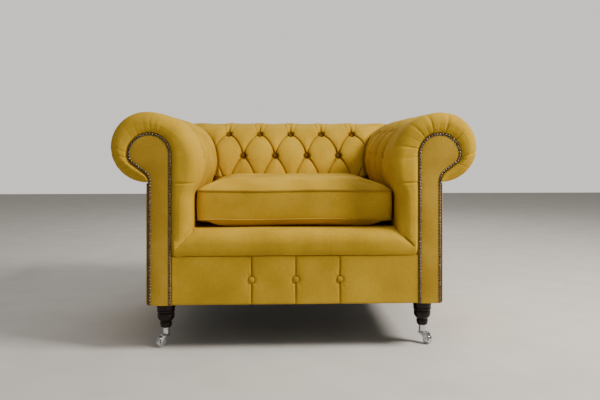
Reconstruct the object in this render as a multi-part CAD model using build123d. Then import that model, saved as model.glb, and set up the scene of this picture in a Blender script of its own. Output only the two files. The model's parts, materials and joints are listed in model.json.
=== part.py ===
"""Roll-arm club armchair with deep-buttoned arms and back, modelled piece by piece, in millimetres.

The chair faces -Y, +X is the sitter's left-hand side seen from the front as the viewer's right, and
+Z is up. The origin is on the floor, at the centre of the chair's width and depth.
"""
import math
import os

from build123d import *

# ---------------------------------------------------------------- driving dimensions
WIDTH = 1120.0  # over the two arm rolls
DEPTH = 950.0  # from the swell of the arm fronts to the back of the back roll
ARM_TOP = 723.0
BACK_TOP = 716.0
SEAT_TOP = 478.0  # edge of the seat cushion's top panel
BASE_Z = 140.0  # underside of the upholstered base
CLEARANCE = 0.3  # between pieces that lie side by side

ARM_ROLL_R = 107.0
BACK_ROLL_R = 104.0
OVERHANG = 111.0  # how far the rolls stand out past the outside panels
ARM_SWELL_R = 164.0  # inner face of an arm, from the seat to the top of the roll
BACK_SWELL_R = 260.0
ARM_INNER_X = 314.0  # plain lower part of an arm's inner face
BACK_INNER_Y = 143.0  # plain lower part of the back's inner face
BACK_INNER_X = 288.0  # half width of the back between the arms
PANEL = 5.0  # outside panels, fabric on board
FRONT_SWELL = 8.0  # how far the arm's padding stands in front of its facing
FRONT_FILLET = 30.0

FACING_IN_X = 374.0
FACING_R = 66.0
FACING_HEAD_Z = 593.0
FACING_THICK = 18.0
POST_THICK = 25.0
NECK_HIGH = 575.0
NECK_LOW = 528.0
NECK_CONVEX_R = 34.0
NECK_CONCAVE_R = 30.0

RAIL_Z = (145.0, 284.0)  # bottom and top of the seat rails
BOARD = 25.0  # thickness of every rail board
SEAM_Z = 287.0  # seam between the front panel and the front border
BORDER_TOP = 365.0
BORDER_DEPTH = 110.0
BORDER_R = 42.0
DECK_Z = (293.0, 364.5)
UPHOLSTERY_Z = 367.0  # where the arm and back padding start above the deck
CAVITY_TOP = 590.0  # top of the hollow inside the arms and the back
FOAM_WALL_ARM = 38.0
FOAM_WALL_BACK = 50.0

CUSHION_X = 308.0  # half width
CUSHION_Y = (-405.0, 139.0)
CUSHION_Z = 365.5
LOWER_SEAM = 388.0  # the bottom panel bulges below its seam
CUSHION_CROWN = 32.0
CUSHION_CORNER = 22.0
CUSHION_FABRIC = 2.0
PIPING_R = 4.0
ZIP_X = 250.0  # half length of the zip in the cushion's rear boxing
ZIP_TAPE = 26.0
ZIP_Z = 422.0

SPRING_WIRE = 3.8
SPRING_HALF = 25.0  # half width of a zig-zag spring
SPRING_PITCH = 32.0
SPRING_BEND = 10.0
SPRING_SPACING = 110.0
SPRING_Z = 290.2
WEBBING = (50.0, 1.4)  # width and thickness of a strip

NAIL_R = 4.4
NAIL_HEIGHT = 3.2
NAIL_PITCH = 9.0
NAIL_INSET = 5.0

BUTTON_R = 11.0
BUTTON_HEIGHT = 7.0
POCKET_R = 12.5
POCKET_DEPTH = 26.0
FRONT_BUTTON_R = 10.0
FRONT_BUTTON_PITCH = 134.0
FRONT_BUTTON_Z = 214.0
COLUMN_PITCH = 127.0  # between the buttons of one row

LEG_X = 401.0
FRONT_LEG_INSET = 70.0  # from the facing's front surface to the leg's centre
LEG_TOP = 142.8
LEG_TIP = 44.0  # end of the turned leg, inside its castor's cup
LEG_TIP_R = 9.4
REAR_LEG = (399.0, 315.0)
REAR_LEG_TOP = 58.0
REAR_LEG_FOOT = 34.0
REAR_LEG_RAKE = 25.0
BOLT_R = 4.0
BOLT_HOLE_R = 4.05
BOLT_Z = (100.0, 200.0)

CUP_TOP = 57.0
CUP_BOTTOM = 36.0
WHEEL_R = 15.0
WHEEL_WIDTH = 14.0
CASTOR_TRAIL = 20.0
CASTOR_ANGLE = 40.0  # how far each castor is turned outwards from straight ahead
FORK_PLATE = 2.4
SPINDLE_R = 3.0
AXLE_R = 2.0
RUNNING = 0.06  # radial clearance of a running fit

# ---------------------------------------------------------------- sizes worked out from them
FRONT_Y = -DEPTH / 2
FACE_Y = FRONT_Y + FRONT_SWELL
POST_Y = (FACE_Y + FACING_THICK, FACE_Y + FACING_THICK + POST_THICK)
SIDE_X = WIDTH / 2 - OVERHANG
REAR_Y = DEPTH / 2 - OVERHANG
ARM_ROLL_X = WIDTH / 2 - ARM_ROLL_R
ARM_ROLL_Z = ARM_TOP - ARM_ROLL_R
ARM_SWELL_Z = ARM_TOP - ARM_SWELL_R
BACK_ROLL_Y = DEPTH / 2 - BACK_ROLL_R
BACK_ROLL_Z = BACK_TOP - BACK_ROLL_R
BACK_SWELL_Z = BACK_TOP - BACK_SWELL_R
PANEL_X = SIDE_X - PANEL
PANEL_Y = REAR_Y - PANEL
FACING_OUT_X = PANEL_X - CLEARANCE
FACING_HEAD_X = FACING_IN_X + FACING_R
FRONT_RAIL_Y = (FACE_Y + 28.0, FACE_Y + 28.0 + BOARD)
FRONT_BORDER_Y = (FACE_Y, FACE_Y + BORDER_DEPTH)
REAR_RAIL_Y = (PANEL_Y - CLEARANCE - BOARD, PANEL_Y - CLEARANCE)
SEAT_REAR_RAIL_Y = (225.0, 225.0 + BOARD)
FRONT_BLOCK_Y = -330.0  # rear face of a front leg's block
REAR_BLOCK_Y = 275.0  # front face of a rear leg's block
CAVITY_IN_X = ARM_INNER_X + FOAM_WALL_ARM
CAVITY_IN_Y = BACK_INNER_Y + FOAM_WALL_BACK
FRAME_X = CAVITY_IN_X + 2.0
FRAME_Y = CAVITY_IN_Y + 2.0
FRONT_LEG_Y = FACE_Y + FRONT_LEG_INSET
OUTSIDE_TOP = 506.0  # top edge of the outside panels, tucked under the rolls
LONG = 2 * DEPTH  # longer than any cut needs


def box(x, y, z):
    """A solid box between two limits on each axis."""
    return Pos(x[0], y[0], z[0]) * Box(
        x[1] - x[0], y[1] - y[0], z[1] - z[0], align=(Align.MIN, Align.MIN, Align.MIN)
    )


def mirrored(shape):
    """The same piece on the other side of the chair."""
    return mirror(shape, about=Plane.YZ)


def along_y(face, start, end):
    """A face drawn in XZ, made solid between two values of Y."""
    return extrude(Pos(0, start, 0) * face, amount=end - start, dir=(0, 1, 0))


def along_x(face, start, end):
    """A face drawn in YZ, made solid between two values of X."""
    return extrude(Pos(start, 0, 0) * face, amount=end - start, dir=(1, 0, 0))


def write(name, shape):
    """One STEP file per named piece."""
    export_step(shape, f"parts/{name}.step")


def write_pair(name, right):
    """The piece on the +X side and its mirror image."""
    write(f"{name}_right", right)
    write(f"{name}_left", mirrored(right))


# ---------------------------------------------------------------- upholstery sections
def roll_face(lower, swell_centre, swell_r, roll_centre, roll_r, panel):
    """Closed section of an arm or of the back as (across, height): plain lower face, swell, roll.

    lower lists the points up to where the swell starts. The swell and the roll are two arcs that
    meet at the top, and the roll ends at the outside panel.
    """
    start, peak = lower[-1], (swell_centre[0], swell_centre[1] + swell_r)
    first = math.atan2(start[1] - swell_centre[1], start[0] - swell_centre[0]) % (2 * math.pi)
    half = (first + math.pi / 2) / 2
    through = (swell_centre[0] + swell_r * math.cos(half), swell_centre[1] + swell_r * math.sin(half))
    end = (panel, roll_centre[1] - math.sqrt(roll_r**2 - (roll_centre[0] - panel) ** 2))
    lines = [
        Polyline(*lower),
        ThreePointArc(start, through, peak),
        ThreePointArc(peak, (roll_centre[0] + roll_r, roll_centre[1]), end),
        Polyline(end, (panel, UPHOLSTERY_Z), lower[0]),
    ]
    return make_face([edge for line in lines for edge in line.edges()])


def arm_face():
    """Section of the right arm in XZ, without its hollow."""
    reach = math.sqrt(ARM_SWELL_R**2 - (ARM_ROLL_X - ARM_INNER_X) ** 2)
    lower = [(ARM_INNER_X, UPHOLSTERY_Z), (ARM_INNER_X, ARM_SWELL_Z - reach)]
    return Plane.XZ * roll_face(
        lower, (ARM_ROLL_X, ARM_SWELL_Z), ARM_SWELL_R, (ARM_ROLL_X, ARM_ROLL_Z), ARM_ROLL_R, PANEL_X
    )


def back_face():
    """Section of the back in YZ, without its hollow. The swell starts above the seat cushion."""
    step = SEAT_TOP + 12.0
    reach = math.sqrt(BACK_SWELL_R**2 - (step - BACK_SWELL_Z) ** 2)
    lower = [(BACK_INNER_Y, UPHOLSTERY_Z), (BACK_INNER_Y, step), (BACK_ROLL_Y - reach, step)]
    return Plane.YZ * roll_face(
        lower, (BACK_ROLL_Y, BACK_SWELL_Z), BACK_SWELL_R, (BACK_ROLL_Y, BACK_ROLL_Z), BACK_ROLL_R,
        PANEL_Y,
    )


def scroll_path(inset=0.0):
    """Open outline of the arm's facing in XZ, up its inner side, over the head and down outside."""
    slope = math.atan2(NECK_HIGH - NECK_LOW, FACING_HEAD_X + FACING_R - FACING_OUT_X)
    rise = inset * (1 / math.cos(slope) - math.tan(slope))
    left, right = FACING_IN_X + inset, FACING_HEAD_X + FACING_R - inset
    top, head_r = FACING_HEAD_Z + FACING_R - inset, FACING_R - inset - 0.05
    outer = FACING_OUT_X - inset
    return Plane.XZ * FilletPolyline(
        (left, BASE_Z), (left, top), (right, top), (right, NECK_HIGH + rise),
        (outer, NECK_LOW + rise), (outer, BASE_Z),
        radius=[head_r, head_r, NECK_CONVEX_R - inset, NECK_CONCAVE_R + inset],
    )


def scroll_board(start, end, bottom=BASE_Z, grown=0.0):
    """A board with the facing's outline between two values of Y."""
    path = scroll_path(-grown)
    face = make_face(Wire([*path.edges(), Line(path @ 1, path @ 0).edge()]))
    board = along_y(face, start, end)
    if bottom > BASE_Z:
        board -= box((0, WIDTH), (start - 1, end + 1), (0, bottom))
    return board


def cut_arm(solid):
    """The part of an arm in front of the mitre through the axes of the arm's and the back's roll."""
    mitre = Plane(origin=(ARM_ROLL_X, BACK_ROLL_Y, 0), x_dir=(0, 0, 1), z_dir=(-1, 1, 0))
    return split(solid, bisect_by=mitre, keep=Keep.BOTTOM)


def cut_back(solid):
    """The part of the back behind both mitres and between the arms."""
    reach = DEPTH
    corner_y = BACK_ROLL_Y + BACK_INNER_X - ARM_ROLL_X
    outer = (ARM_ROLL_X + reach, BACK_ROLL_Y + reach)
    half = [(0, 0), (BACK_INNER_X, 0), (BACK_INNER_X, corner_y), outer, (0, outer[1])]
    plan = [*half, *[(-x, y) for x, y in reversed(half[1:-1])]]
    keep = extrude(make_face(Polyline(*plan, close=True)), amount=LONG)
    return solid & keep


# ---------------------------------------------------------------- button places
def swell_point(centre, swell_z, swell_r, angle, depth):
    """(across, height) of a place on a swell, that far under its surface."""
    r = swell_r - depth
    return centre - r * math.cos(math.radians(angle)), swell_z + r * math.sin(math.radians(angle))


def button_plane(centre, swell_z, swell_r, angle, depth):
    """Seat of a button on a swell and the way it faces, as (across, height) pairs.

    The twine pulls flatter than square to the padding, so that a button faces the sitter.
    """
    across, z = swell_point(centre, swell_z, swell_r, angle, 0.0)
    lean = math.radians(90.0 * (angle / 90.0) ** 2.6)
    depth = depth / math.cos(math.radians(angle) - lean)
    seat = across + depth * math.cos(lean), z - depth * math.sin(lean)
    return seat, (-math.cos(lean), math.sin(lean))


ARM_ROW_A, ARM_ROW_B = 10.0, 50.0  # degrees up the swell
BACK_ROW_A, BACK_ROW_B = 28.5, 57.0
ARM_COLUMNS = [FACE_Y + 205.0 + 130.0 * k for k in range(3)]
ARM_HALF_COLUMNS = [y + 65.0 for y in ARM_COLUMNS]


def arm_button_planes(depth):
    """Planes on the right arm that face outwards at each button, that far under the surface."""
    planes = []
    for angle, columns in ((ARM_ROW_A, ARM_COLUMNS), (ARM_ROW_B, ARM_HALF_COLUMNS)):
        (x, z), (nx, nz) = button_plane(ARM_ROLL_X, ARM_SWELL_Z, ARM_SWELL_R, angle, depth)
        planes += [Plane(origin=(x, y, z), z_dir=(nx, 0, nz)) for y in columns]
    return planes


def back_button_planes(depth):
    """Planes on the back that face outwards at each button, that far under the surface."""
    half = COLUMN_PITCH / 2
    rows = [(BACK_ROW_A, [-3 * half, -half, half, 3 * half]),
            (BACK_ROW_B, [COLUMN_PITCH * k for k in range(-2, 3)])]
    planes = []
    for angle, columns in rows:
        (y, z), (ny, nz) = button_plane(BACK_ROLL_Y, BACK_SWELL_Z, BACK_SWELL_R, angle, depth)
        planes += [Plane(origin=(x, y, z), z_dir=(0, ny, nz)) for x in columns]
    return planes


def button(radius, height):
    """A fabric-covered button: a short drum with a domed top, its base on the plane."""
    drum = Cylinder(radius, height * 0.5, align=(Align.CENTER, Align.CENTER, Align.MIN))
    dome_r = (radius**2 + (height * 0.5) ** 2) / height
    dome = Pos(0, 0, height - dome_r) * Sphere(dome_r)
    column = Cylinder(radius, height, align=(Align.CENTER, Align.CENTER, Align.MIN))
    return drum + (column & dome)


def pockets(planes):
    """Round holes in the foam that the buttons are pulled into."""
    hole = Cylinder(POCKET_R, 2 * POCKET_DEPTH, align=(Align.CENTER, Align.CENTER, Align.MIN))
    return [plane * hole for plane in planes]


def buttons(planes):
    """One group of separate buttons."""
    return Compound([(plane * button(BUTTON_R, BUTTON_HEIGHT)).solid() for plane in planes])


# ---------------------------------------------------------------- arms
def arm_block():
    """The right arm's padding with its front edge rounded over."""
    block = along_y(arm_face(), FRONT_Y, DEPTH / 2 + ARM_ROLL_R)
    front = block.edges().filter_by_position(Axis.Y, FRONT_Y - 1, FRONT_Y + 1)
    inner = front.filter_by(GeomType.LINE).sort_by(Axis.X)[0]
    block = fillet([*front.filter_by(GeomType.CIRCLE), inner], FRONT_FILLET)
    return cut_arm(block)


def make_arms():
    """Padding, facing, nails, buttons and outside panel of both arms."""
    hollow = box((CAVITY_IN_X, PANEL_X + 1), (POST_Y[1], LONG), (UPHOLSTERY_Z - 1, CAVITY_TOP))
    hollow += box((0, PANEL_X + 1), (CAVITY_IN_Y, LONG), (UPHOLSTERY_Z - 1, CAVITY_TOP))
    recess = scroll_board(FRONT_Y - 1, POST_Y[1], grown=CLEARANCE)
    padding = arm_block() - hollow - recess - pockets(arm_button_planes(POCKET_DEPTH))
    write_pair("arm_padding", padding)
    write_pair("arm_facing", scroll_board(FACE_Y, POST_Y[0] - CLEARANCE))
    write_pair("arm_buttons", buttons(arm_button_planes(POCKET_DEPTH)))
    write_pair("arm_nails", make_nails())
    write_pair("outside_arm", box((PANEL_X, SIDE_X), (FACE_Y, REAR_Y), (BASE_Z, OUTSIDE_TOP)))


def make_nails():
    """Domed nail heads, one touching the next, along the edge of the facing."""
    path = scroll_path(NAIL_INSET)
    count = int(path.length / NAIL_PITCH)
    dome_r = (NAIL_R**2 + NAIL_HEIGHT**2) / (2 * NAIL_HEIGHT)
    cap = Sphere(dome_r) - box((-LONG, LONG), (-LONG, LONG), (-LONG, dome_r - NAIL_HEIGHT))
    cap = Pos(0, 0, NAIL_HEIGHT - dome_r) * cap
    heads = []
    for k in range(count):
        place = path @ ((k + 0.5) / count)
        plane = Plane(origin=(place.X, FACE_Y, place.Z), z_dir=(0, -1, 0))
        heads.append((plane * cap).solid())
    return Compound(heads)


# ---------------------------------------------------------------- back
def make_back():
    """Padding, buttons and outside panel of the back."""
    hollow = box((-LONG, LONG), (CAVITY_IN_Y, PANEL_Y + 1), (UPHOLSTERY_Z - 1, CAVITY_TOP))
    padding = cut_back(along_x(back_face(), -WIDTH / 2, WIDTH / 2)) - hollow
    write("back_padding", padding - pockets(back_button_planes(POCKET_DEPTH)))
    write("back_buttons", buttons(back_button_planes(POCKET_DEPTH)))
    across = (-PANEL_X + CLEARANCE, PANEL_X - CLEARANCE)
    write("outside_back", box(across, (PANEL_Y, REAR_Y), (BASE_Z, OUTSIDE_TOP)))


# ---------------------------------------------------------------- wooden frame
def bolt_hole(place, start, end):
    """An upright hole for a leg bolt."""
    hole = Cylinder(BOLT_HOLE_R, end - start, align=(Align.CENTER, Align.CENTER, Align.MIN))
    return Pos(place[0], place[1], start) * hole


def make_frame():
    """Seat rails, posts, leg blocks and the rails that the webbing and the covers are pulled to."""
    low, high = RAIL_Z
    outer_x = CAVITY_IN_X + BOARD  # where the posts stand, outside the side rails
    top_z = (CAVITY_TOP - 32.0, CAVITY_TOP - 2.0)
    stay_z = (306.0, 350.0)
    write("front_rail", box((-CAVITY_IN_X, CAVITY_IN_X), FRONT_RAIL_Y, RAIL_Z))
    write("seat_rear_rail", box((-CAVITY_IN_X, CAVITY_IN_X), SEAT_REAR_RAIL_Y, RAIL_Z))
    write("rear_rail", box((-CAVITY_IN_X, CAVITY_IN_X), REAR_RAIL_Y, RAIL_Z))
    write_pair("side_rail", box((CAVITY_IN_X, outer_x), (FRONT_RAIL_Y[0], REAR_RAIL_Y[1]), RAIL_Z))
    post = scroll_board(*POST_Y, bottom=LEG_TOP, grown=-CLEARANCE)
    write_pair("arm_post", post - box((0, outer_x), POST_Y, (0, high)))
    block = box((outer_x, FACING_OUT_X), (POST_Y[1], FRONT_BLOCK_Y), (LEG_TOP, high))
    write_pair("front_leg_block", block - bolt_hole((LEG_X, FRONT_LEG_Y), low - BOARD, high))
    block = box((outer_x, FACING_OUT_X), (REAR_BLOCK_Y, REAR_RAIL_Y[0]), (LEG_TOP, high))
    write_pair("rear_leg_block", block - bolt_hole(REAR_LEG, low - BOARD, high))
    write_pair("back_post", box((outer_x, FACING_OUT_X), REAR_RAIL_Y, (LEG_TOP, top_z[1])))
    write_pair("arm_top_rail", box((FRAME_X, 435.0), (POST_Y[1], REAR_RAIL_Y[0]), top_z))
    stay_y = (FRONT_BORDER_Y[1] + 1, REAR_RAIL_Y[0])
    write_pair("arm_stay_rail", box((FRAME_X, FRAME_X + 22), stay_y, stay_z))
    write("back_top_rail", box((-FRAME_X, FRAME_X), (FRAME_Y, FRAME_Y + 45), top_z))
    write("back_stay_rail", box((-FRAME_X, FRAME_X), (FRAME_Y, FRAME_Y + 22), stay_z))
    width, thick = WEBBING
    strips = [
        box((x - width / 2, x + width / 2), (FRAME_Y - thick, FRAME_Y), (stay_z[0], top_z[1]))
        for x in (-240.0, -80.0, 80.0, 240.0)
    ]
    write("back_webbing", Compound([strip.solid() for strip in strips]))


# ---------------------------------------------------------------- seat
def make_springs():
    """Zig-zag springs running front to back over the seat rails, each end on a small pad."""
    ends = [sum(FRONT_RAIL_Y) / 2, sum(SEAT_REAR_RAIL_Y) / 2]
    waves = int((ends[1] - ends[0]) / SPRING_PITCH)
    step = (ends[1] - ends[0]) / waves
    points = [(0, ends[0])]
    for k in range(waves):
        side = SPRING_HALF if k % 2 == 0 else -SPRING_HALF
        points += [(side, ends[0] + step * (k + 0.1)), (side, ends[0] + step * (k + 0.9))]
    points.append((0, ends[1]))
    line = Pos(0, 0, SPRING_Z) * FilletPolyline(*points, radius=SPRING_BEND)
    spring = sweep(Plane(origin=line @ 0, z_dir=line % 0) * Circle(SPRING_WIRE / 2), path=line)
    places = [SPRING_SPACING * (k - 2) for k in range(5)]
    write("seat_springs", Compound([(Pos(x, 0, 0) * spring).solid() for x in places]))
    pad_z = (RAIL_Z[1], SPRING_Z - SPRING_WIRE / 2)
    pads = [box((x - 9, x + 9), (y - 8, y + 8), pad_z) for x in places for y in ends]
    write("spring_pads", Compound([pad.solid() for pad in pads]))


def make_seat_front():
    """Padded deck, front border roll, and the front panel with its buttons."""
    half = FACING_IN_X - CLEARANCE
    deck_y = (FRONT_BORDER_Y[1] + CLEARANCE, CAVITY_IN_Y - 1)
    write("seat_deck", box((-CAVITY_IN_X + 1, CAVITY_IN_X - 1), deck_y, DECK_Z))
    roll = box((-half, half), FRONT_BORDER_Y, (SEAM_Z, BORDER_TOP))
    roll -= box((-WIDTH, WIDTH), (FRONT_RAIL_Y[0] - 1, 0), (0, DECK_Z[0]))
    long_edges = roll.edges().filter_by(Axis.X)
    roll = fillet(long_edges.filter_by_position(Axis.Z, BORDER_TOP - 1, BORDER_TOP + 1)
                  .sort_by(Axis.Y)[0], BORDER_R)
    low_edge = roll.edges().filter_by(Axis.X).filter_by_position(Axis.Z, SEAM_Z - 1, SEAM_Z + 1)
    write("front_border", fillet(low_edge.sort_by(Axis.Y)[0], 12.0))
    panel = box((-half, half), (FACE_Y + 4.0, FRONT_RAIL_Y[0]), (BASE_Z, SEAM_Z - CLEARANCE))
    panel = fillet(panel.edges().filter_by(Axis.X).sort_by(Axis.Y)[:2], 6.0)
    hole = Cylinder(FRONT_BUTTON_R + 1, BOARD, align=(Align.CENTER, Align.CENTER, Align.MIN))
    seats = [
        Plane(origin=(FRONT_BUTTON_PITCH * k, FACE_Y + 12.0, FRONT_BUTTON_Z), z_dir=(0, -1, 0))
        for k in (-1, 0, 1)
    ]
    write("front_panel", panel - [seat * hole for seat in seats])
    write("front_buttons", Compound([(seat * button(FRONT_BUTTON_R, 6.0)).solid() for seat in seats]))


def make_dust_cover():
    """Cloth under the seat, cut away round the leg blocks."""
    cloth = box((-PANEL_X + 1, PANEL_X - 1), (FRONT_RAIL_Y[0], PANEL_Y - 1), (143.2, 144.6))
    corner_x = (CAVITY_IN_X + BOARD - 1, WIDTH)
    for corner_y in ((-DEPTH, FRONT_BLOCK_Y + 1), (REAR_BLOCK_Y - 1, DEPTH)):
        corner = box(corner_x, corner_y, (0, DEPTH))
        cloth = cloth - corner - mirrored(corner)
    write("dust_cover", cloth)


# ---------------------------------------------------------------- seat cushion
def cushion_plan(inset):
    """Plan of the cushion, moved inwards from the outside of its piping."""
    length = CUSHION_Y[1] - CUSHION_Y[0] - 2 * inset
    plan = RectangleRounded(2 * (CUSHION_X - inset), length, CUSHION_CORNER - inset)
    return Pos(0, sum(CUSHION_Y) / 2) * plan


def crown_limit(lowered):
    """Two crossing barrels that give the cushion's top its crown, down to the seam all round."""
    half_x = CUSHION_X - PIPING_R
    half_y = (CUSHION_Y[1] - CUSHION_Y[0]) / 2 - PIPING_R
    radius_x = (half_x**2 + CUSHION_CROWN**2) / (2 * CUSHION_CROWN)
    radius_y = (half_y**2 + CUSHION_CROWN**2) / (2 * CUSHION_CROWN)
    top = SEAT_TOP + CUSHION_CROWN - lowered
    along = Pos(0, 0, top - radius_x) * Rot(90, 0, 0) * Cylinder(radius_x, LONG)
    across = Pos(0, sum(CUSHION_Y) / 2, top - radius_y) * Rot(0, 90, 0) * Cylinder(radius_y, LONG)
    return along & across


def cushion_underside(inset, floor):
    """The part of the cushion below its lower seam, drawn in towards its floor."""
    plans = [Pos(0, 0, LOWER_SEAM) * cushion_plan(inset), Pos(0, 0, floor) * cushion_plan(inset + 15.0)]
    return loft([plan.face() for plan in plans])


def make_cushion():
    """Loose seat cushion: foam core, top and bottom panels, boxing, piping and rear zip."""
    seam, body = PIPING_R, PIPING_R + CUSHION_FABRIC
    tall = SEAT_TOP + CUSHION_CROWN - CUSHION_Z
    piping = []
    for z in (LOWER_SEAM, SEAT_TOP):
        path = (Pos(0, 0, z) * cushion_plan(seam)).face().outer_wire()
        piping.append(sweep(Plane(origin=path @ 0, z_dir=path % 0) * Circle(PIPING_R), path=path))
    write("cushion_piping", Compound([pipe.solid() for pipe in piping]))
    under = cushion_underside(seam, CUSHION_Z)
    filling = cushion_underside(body, CUSHION_Z + CUSHION_FABRIC)
    core = extrude(Pos(0, 0, LOWER_SEAM) * cushion_plan(body), amount=tall)
    core = (core & crown_limit(CUSHION_FABRIC)) + filling
    write("cushion_core", core - piping)
    write("cushion_bottom", under - filling - piping)
    boxing_top = SEAT_TOP - CUSHION_FABRIC
    ring = cushion_plan(seam) - cushion_plan(body)
    boxing = extrude(Pos(0, 0, LOWER_SEAM) * ring, amount=boxing_top - LOWER_SEAM)
    rear = CUSHION_Y[1] - seam
    tape = box((-ZIP_X, ZIP_X), (rear - CUSHION_FABRIC, rear),
               (ZIP_Z - ZIP_TAPE / 2, ZIP_Z + ZIP_TAPE / 2))
    write("cushion_boxing", boxing - piping - tape)
    top = extrude(Pos(0, 0, boxing_top) * cushion_plan(seam), amount=tall) & crown_limit(0)
    write("cushion_top", top - core - piping)
    coil = box((-ZIP_X + 6, ZIP_X - 6), (rear - 1, rear + 1), (ZIP_Z - 3, ZIP_Z + 3))
    write("cushion_zip", tape + coil)
    slider_x = ZIP_X - 22.0
    slider = box((slider_x - 7, slider_x + 7), (rear + 1.1, rear + 2.6), (ZIP_Z - 5, ZIP_Z + 5))
    pull = box((slider_x - 26, slider_x - 4), (rear + 2.6, rear + 3.6), (ZIP_Z - 3, ZIP_Z + 3))
    sides = [
        box((slider_x - 7, slider_x + 7), (rear + 0.2, rear + 1.1), (ZIP_Z + z, ZIP_Z + z + 1.5))
        for z in (-5.0, 3.5)
    ]
    write("zip_slider", slider + pull + sides)


# ---------------------------------------------------------------- legs and castors
def make_legs():
    """Turned front legs, square tapered rear legs and the bolts that hold them."""
    profile = [
        (0, LEG_TOP), (29.5, LEG_TOP), (28.6, 121), (27.2, 114), (28, 109), (25.3, 104), (26.5, 97),
        (26.2, 90), (24.4, 85), (19.6, 79), (17.0, 75.6), (18.2, 72), (17.6, 65), (15.2, CUP_TOP + 1.6),
        (12.5, CUP_TOP),
        (LEG_TIP_R, CUP_TOP), (LEG_TIP_R, LEG_TIP), (0, LEG_TIP),
    ]
    turned = revolve(Plane.XZ * make_face(Polyline(*profile, close=True).edges()), axis=Axis.Z)
    leg = Pos(LEG_X, FRONT_LEG_Y, 0) * turned
    write_pair("front_leg", leg - bolt_hole((LEG_X, FRONT_LEG_Y), BOLT_Z[0], BOLT_Z[1]))
    x, y = REAR_LEG
    head = Pos(x, y, LEG_TOP) * Rectangle(REAR_LEG_TOP, REAR_LEG_TOP)
    foot = Pos(x, y + REAR_LEG_RAKE, 0) * Rectangle(REAR_LEG_FOOT, REAR_LEG_FOOT)
    rear_leg = loft([foot.face(), head.face()], ruled=True)
    write_pair("rear_leg", rear_leg - bolt_hole(REAR_LEG, BOLT_Z[0], BOLT_Z[1]))
    bolt = Cylinder(BOLT_R, BOLT_Z[1] - BOLT_Z[0], align=(Align.CENTER, Align.CENTER, Align.MIN))
    bolts = [Pos(px, py, BOLT_Z[0]) * bolt for px, py in ((LEG_X, FRONT_LEG_Y), REAR_LEG)]
    bolts += [mirrored(b) for b in bolts]
    write("leg_bolts", Compound([b.solid() for b in bolts]))


def make_castors():
    """Cup on the leg's tip, swivelling fork, axle and wheel. Drawn trailing towards +X, then turned."""
    cup_profile = [(0, CUP_TOP), (12.3, CUP_TOP), (12.3, CUP_TOP - 1.6), (11.6, CUP_TOP - 2.6),
                   (10.7, CUP_BOTTOM + 3), (10.4, CUP_BOTTOM), (0, CUP_BOTTOM)]
    cup = revolve(Plane.XZ * make_face(Polyline(*cup_profile, close=True).edges()), axis=Axis.Z)
    low = (Align.CENTER, Align.CENTER, Align.MIN)
    cup -= Pos(0, 0, LEG_TIP) * Cylinder(LEG_TIP_R, DEPTH, align=low)
    cup -= Pos(0, 0, 0) * Cylinder(SPINDLE_R + RUNNING, LEG_TIP - 1, align=low)
    inside = WHEEL_WIDTH / 2 + 0.5
    crown_z = (CUP_BOTTOM - 3.0, CUP_BOTTOM - 0.6)
    side = [
        (-9, crown_z[1]), (CASTOR_TRAIL + 2, crown_z[1]), (CASTOR_TRAIL + 6, WHEEL_R + 2),
        (CASTOR_TRAIL + 4, WHEEL_R - 5), (CASTOR_TRAIL - 4, WHEEL_R - 5), (CASTOR_TRAIL - 7, WHEEL_R + 3),
        (-9, crown_z[0] - 1),
    ]
    plate = Plane.XZ * make_face(Polyline(*side, close=True).edges())
    fork = along_y(plate, inside, inside + FORK_PLATE) + along_y(plate, -inside - FORK_PLATE, -inside)
    fork += box((-9, CASTOR_TRAIL + 2), (-inside, inside), crown_z)
    spindle = Cylinder(SPINDLE_R, LEG_TIP - 2 - crown_z[0], align=low)
    fork += Pos(0, 0, crown_z[0]) * spindle
    axle_length = 2 * (inside + FORK_PLATE + 1)
    axle = Pos(CASTOR_TRAIL, 0, WHEEL_R) * Rot(90, 0, 0) * Cylinder(AXLE_R, axle_length)
    fork -= axle
    wheel = fillet(Cylinder(WHEEL_R, WHEEL_WIDTH).edges(), 2.0)
    wheel -= Cylinder(AXLE_R + RUNNING, WHEEL_WIDTH)
    for face_z in (WHEEL_WIDTH / 2, -WHEEL_WIDTH / 2):
        wheel -= Pos(0, 0, face_z) * (Cylinder(11.0, 3.0) - Cylinder(5.0, 3.0))
    wheel = Pos(CASTOR_TRAIL, 0, WHEEL_R) * Rot(90, 0, 0) * wheel
    place = Pos(LEG_X, FRONT_LEG_Y, 0) * Rot(0, 0, CASTOR_ANGLE - 90)
    for name, piece in (("cup", cup), ("fork", fork), ("axle", axle), ("wheel", wheel)):
        write_pair(f"castor_{name}", place * piece)


os.makedirs("parts", exist_ok=True)
make_arms()
make_back()
make_frame()
make_springs()
make_seat_front()
make_dust_cover()
make_cushion()
make_legs()
make_castors()
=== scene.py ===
"""Roll-arm club armchair with deep-buttoned arms and back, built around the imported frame.

Lengths inside the classes are millimetres; a mesh is written in metres, in the frame's own axes:
the chair faces -Y, +Z is up and the origin is on the floor at the middle of its width and depth.
"""
import json
import logging
import math
from dataclasses import dataclass, field
from enum import Enum
from typing import Callable, Optional, Sequence

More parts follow.
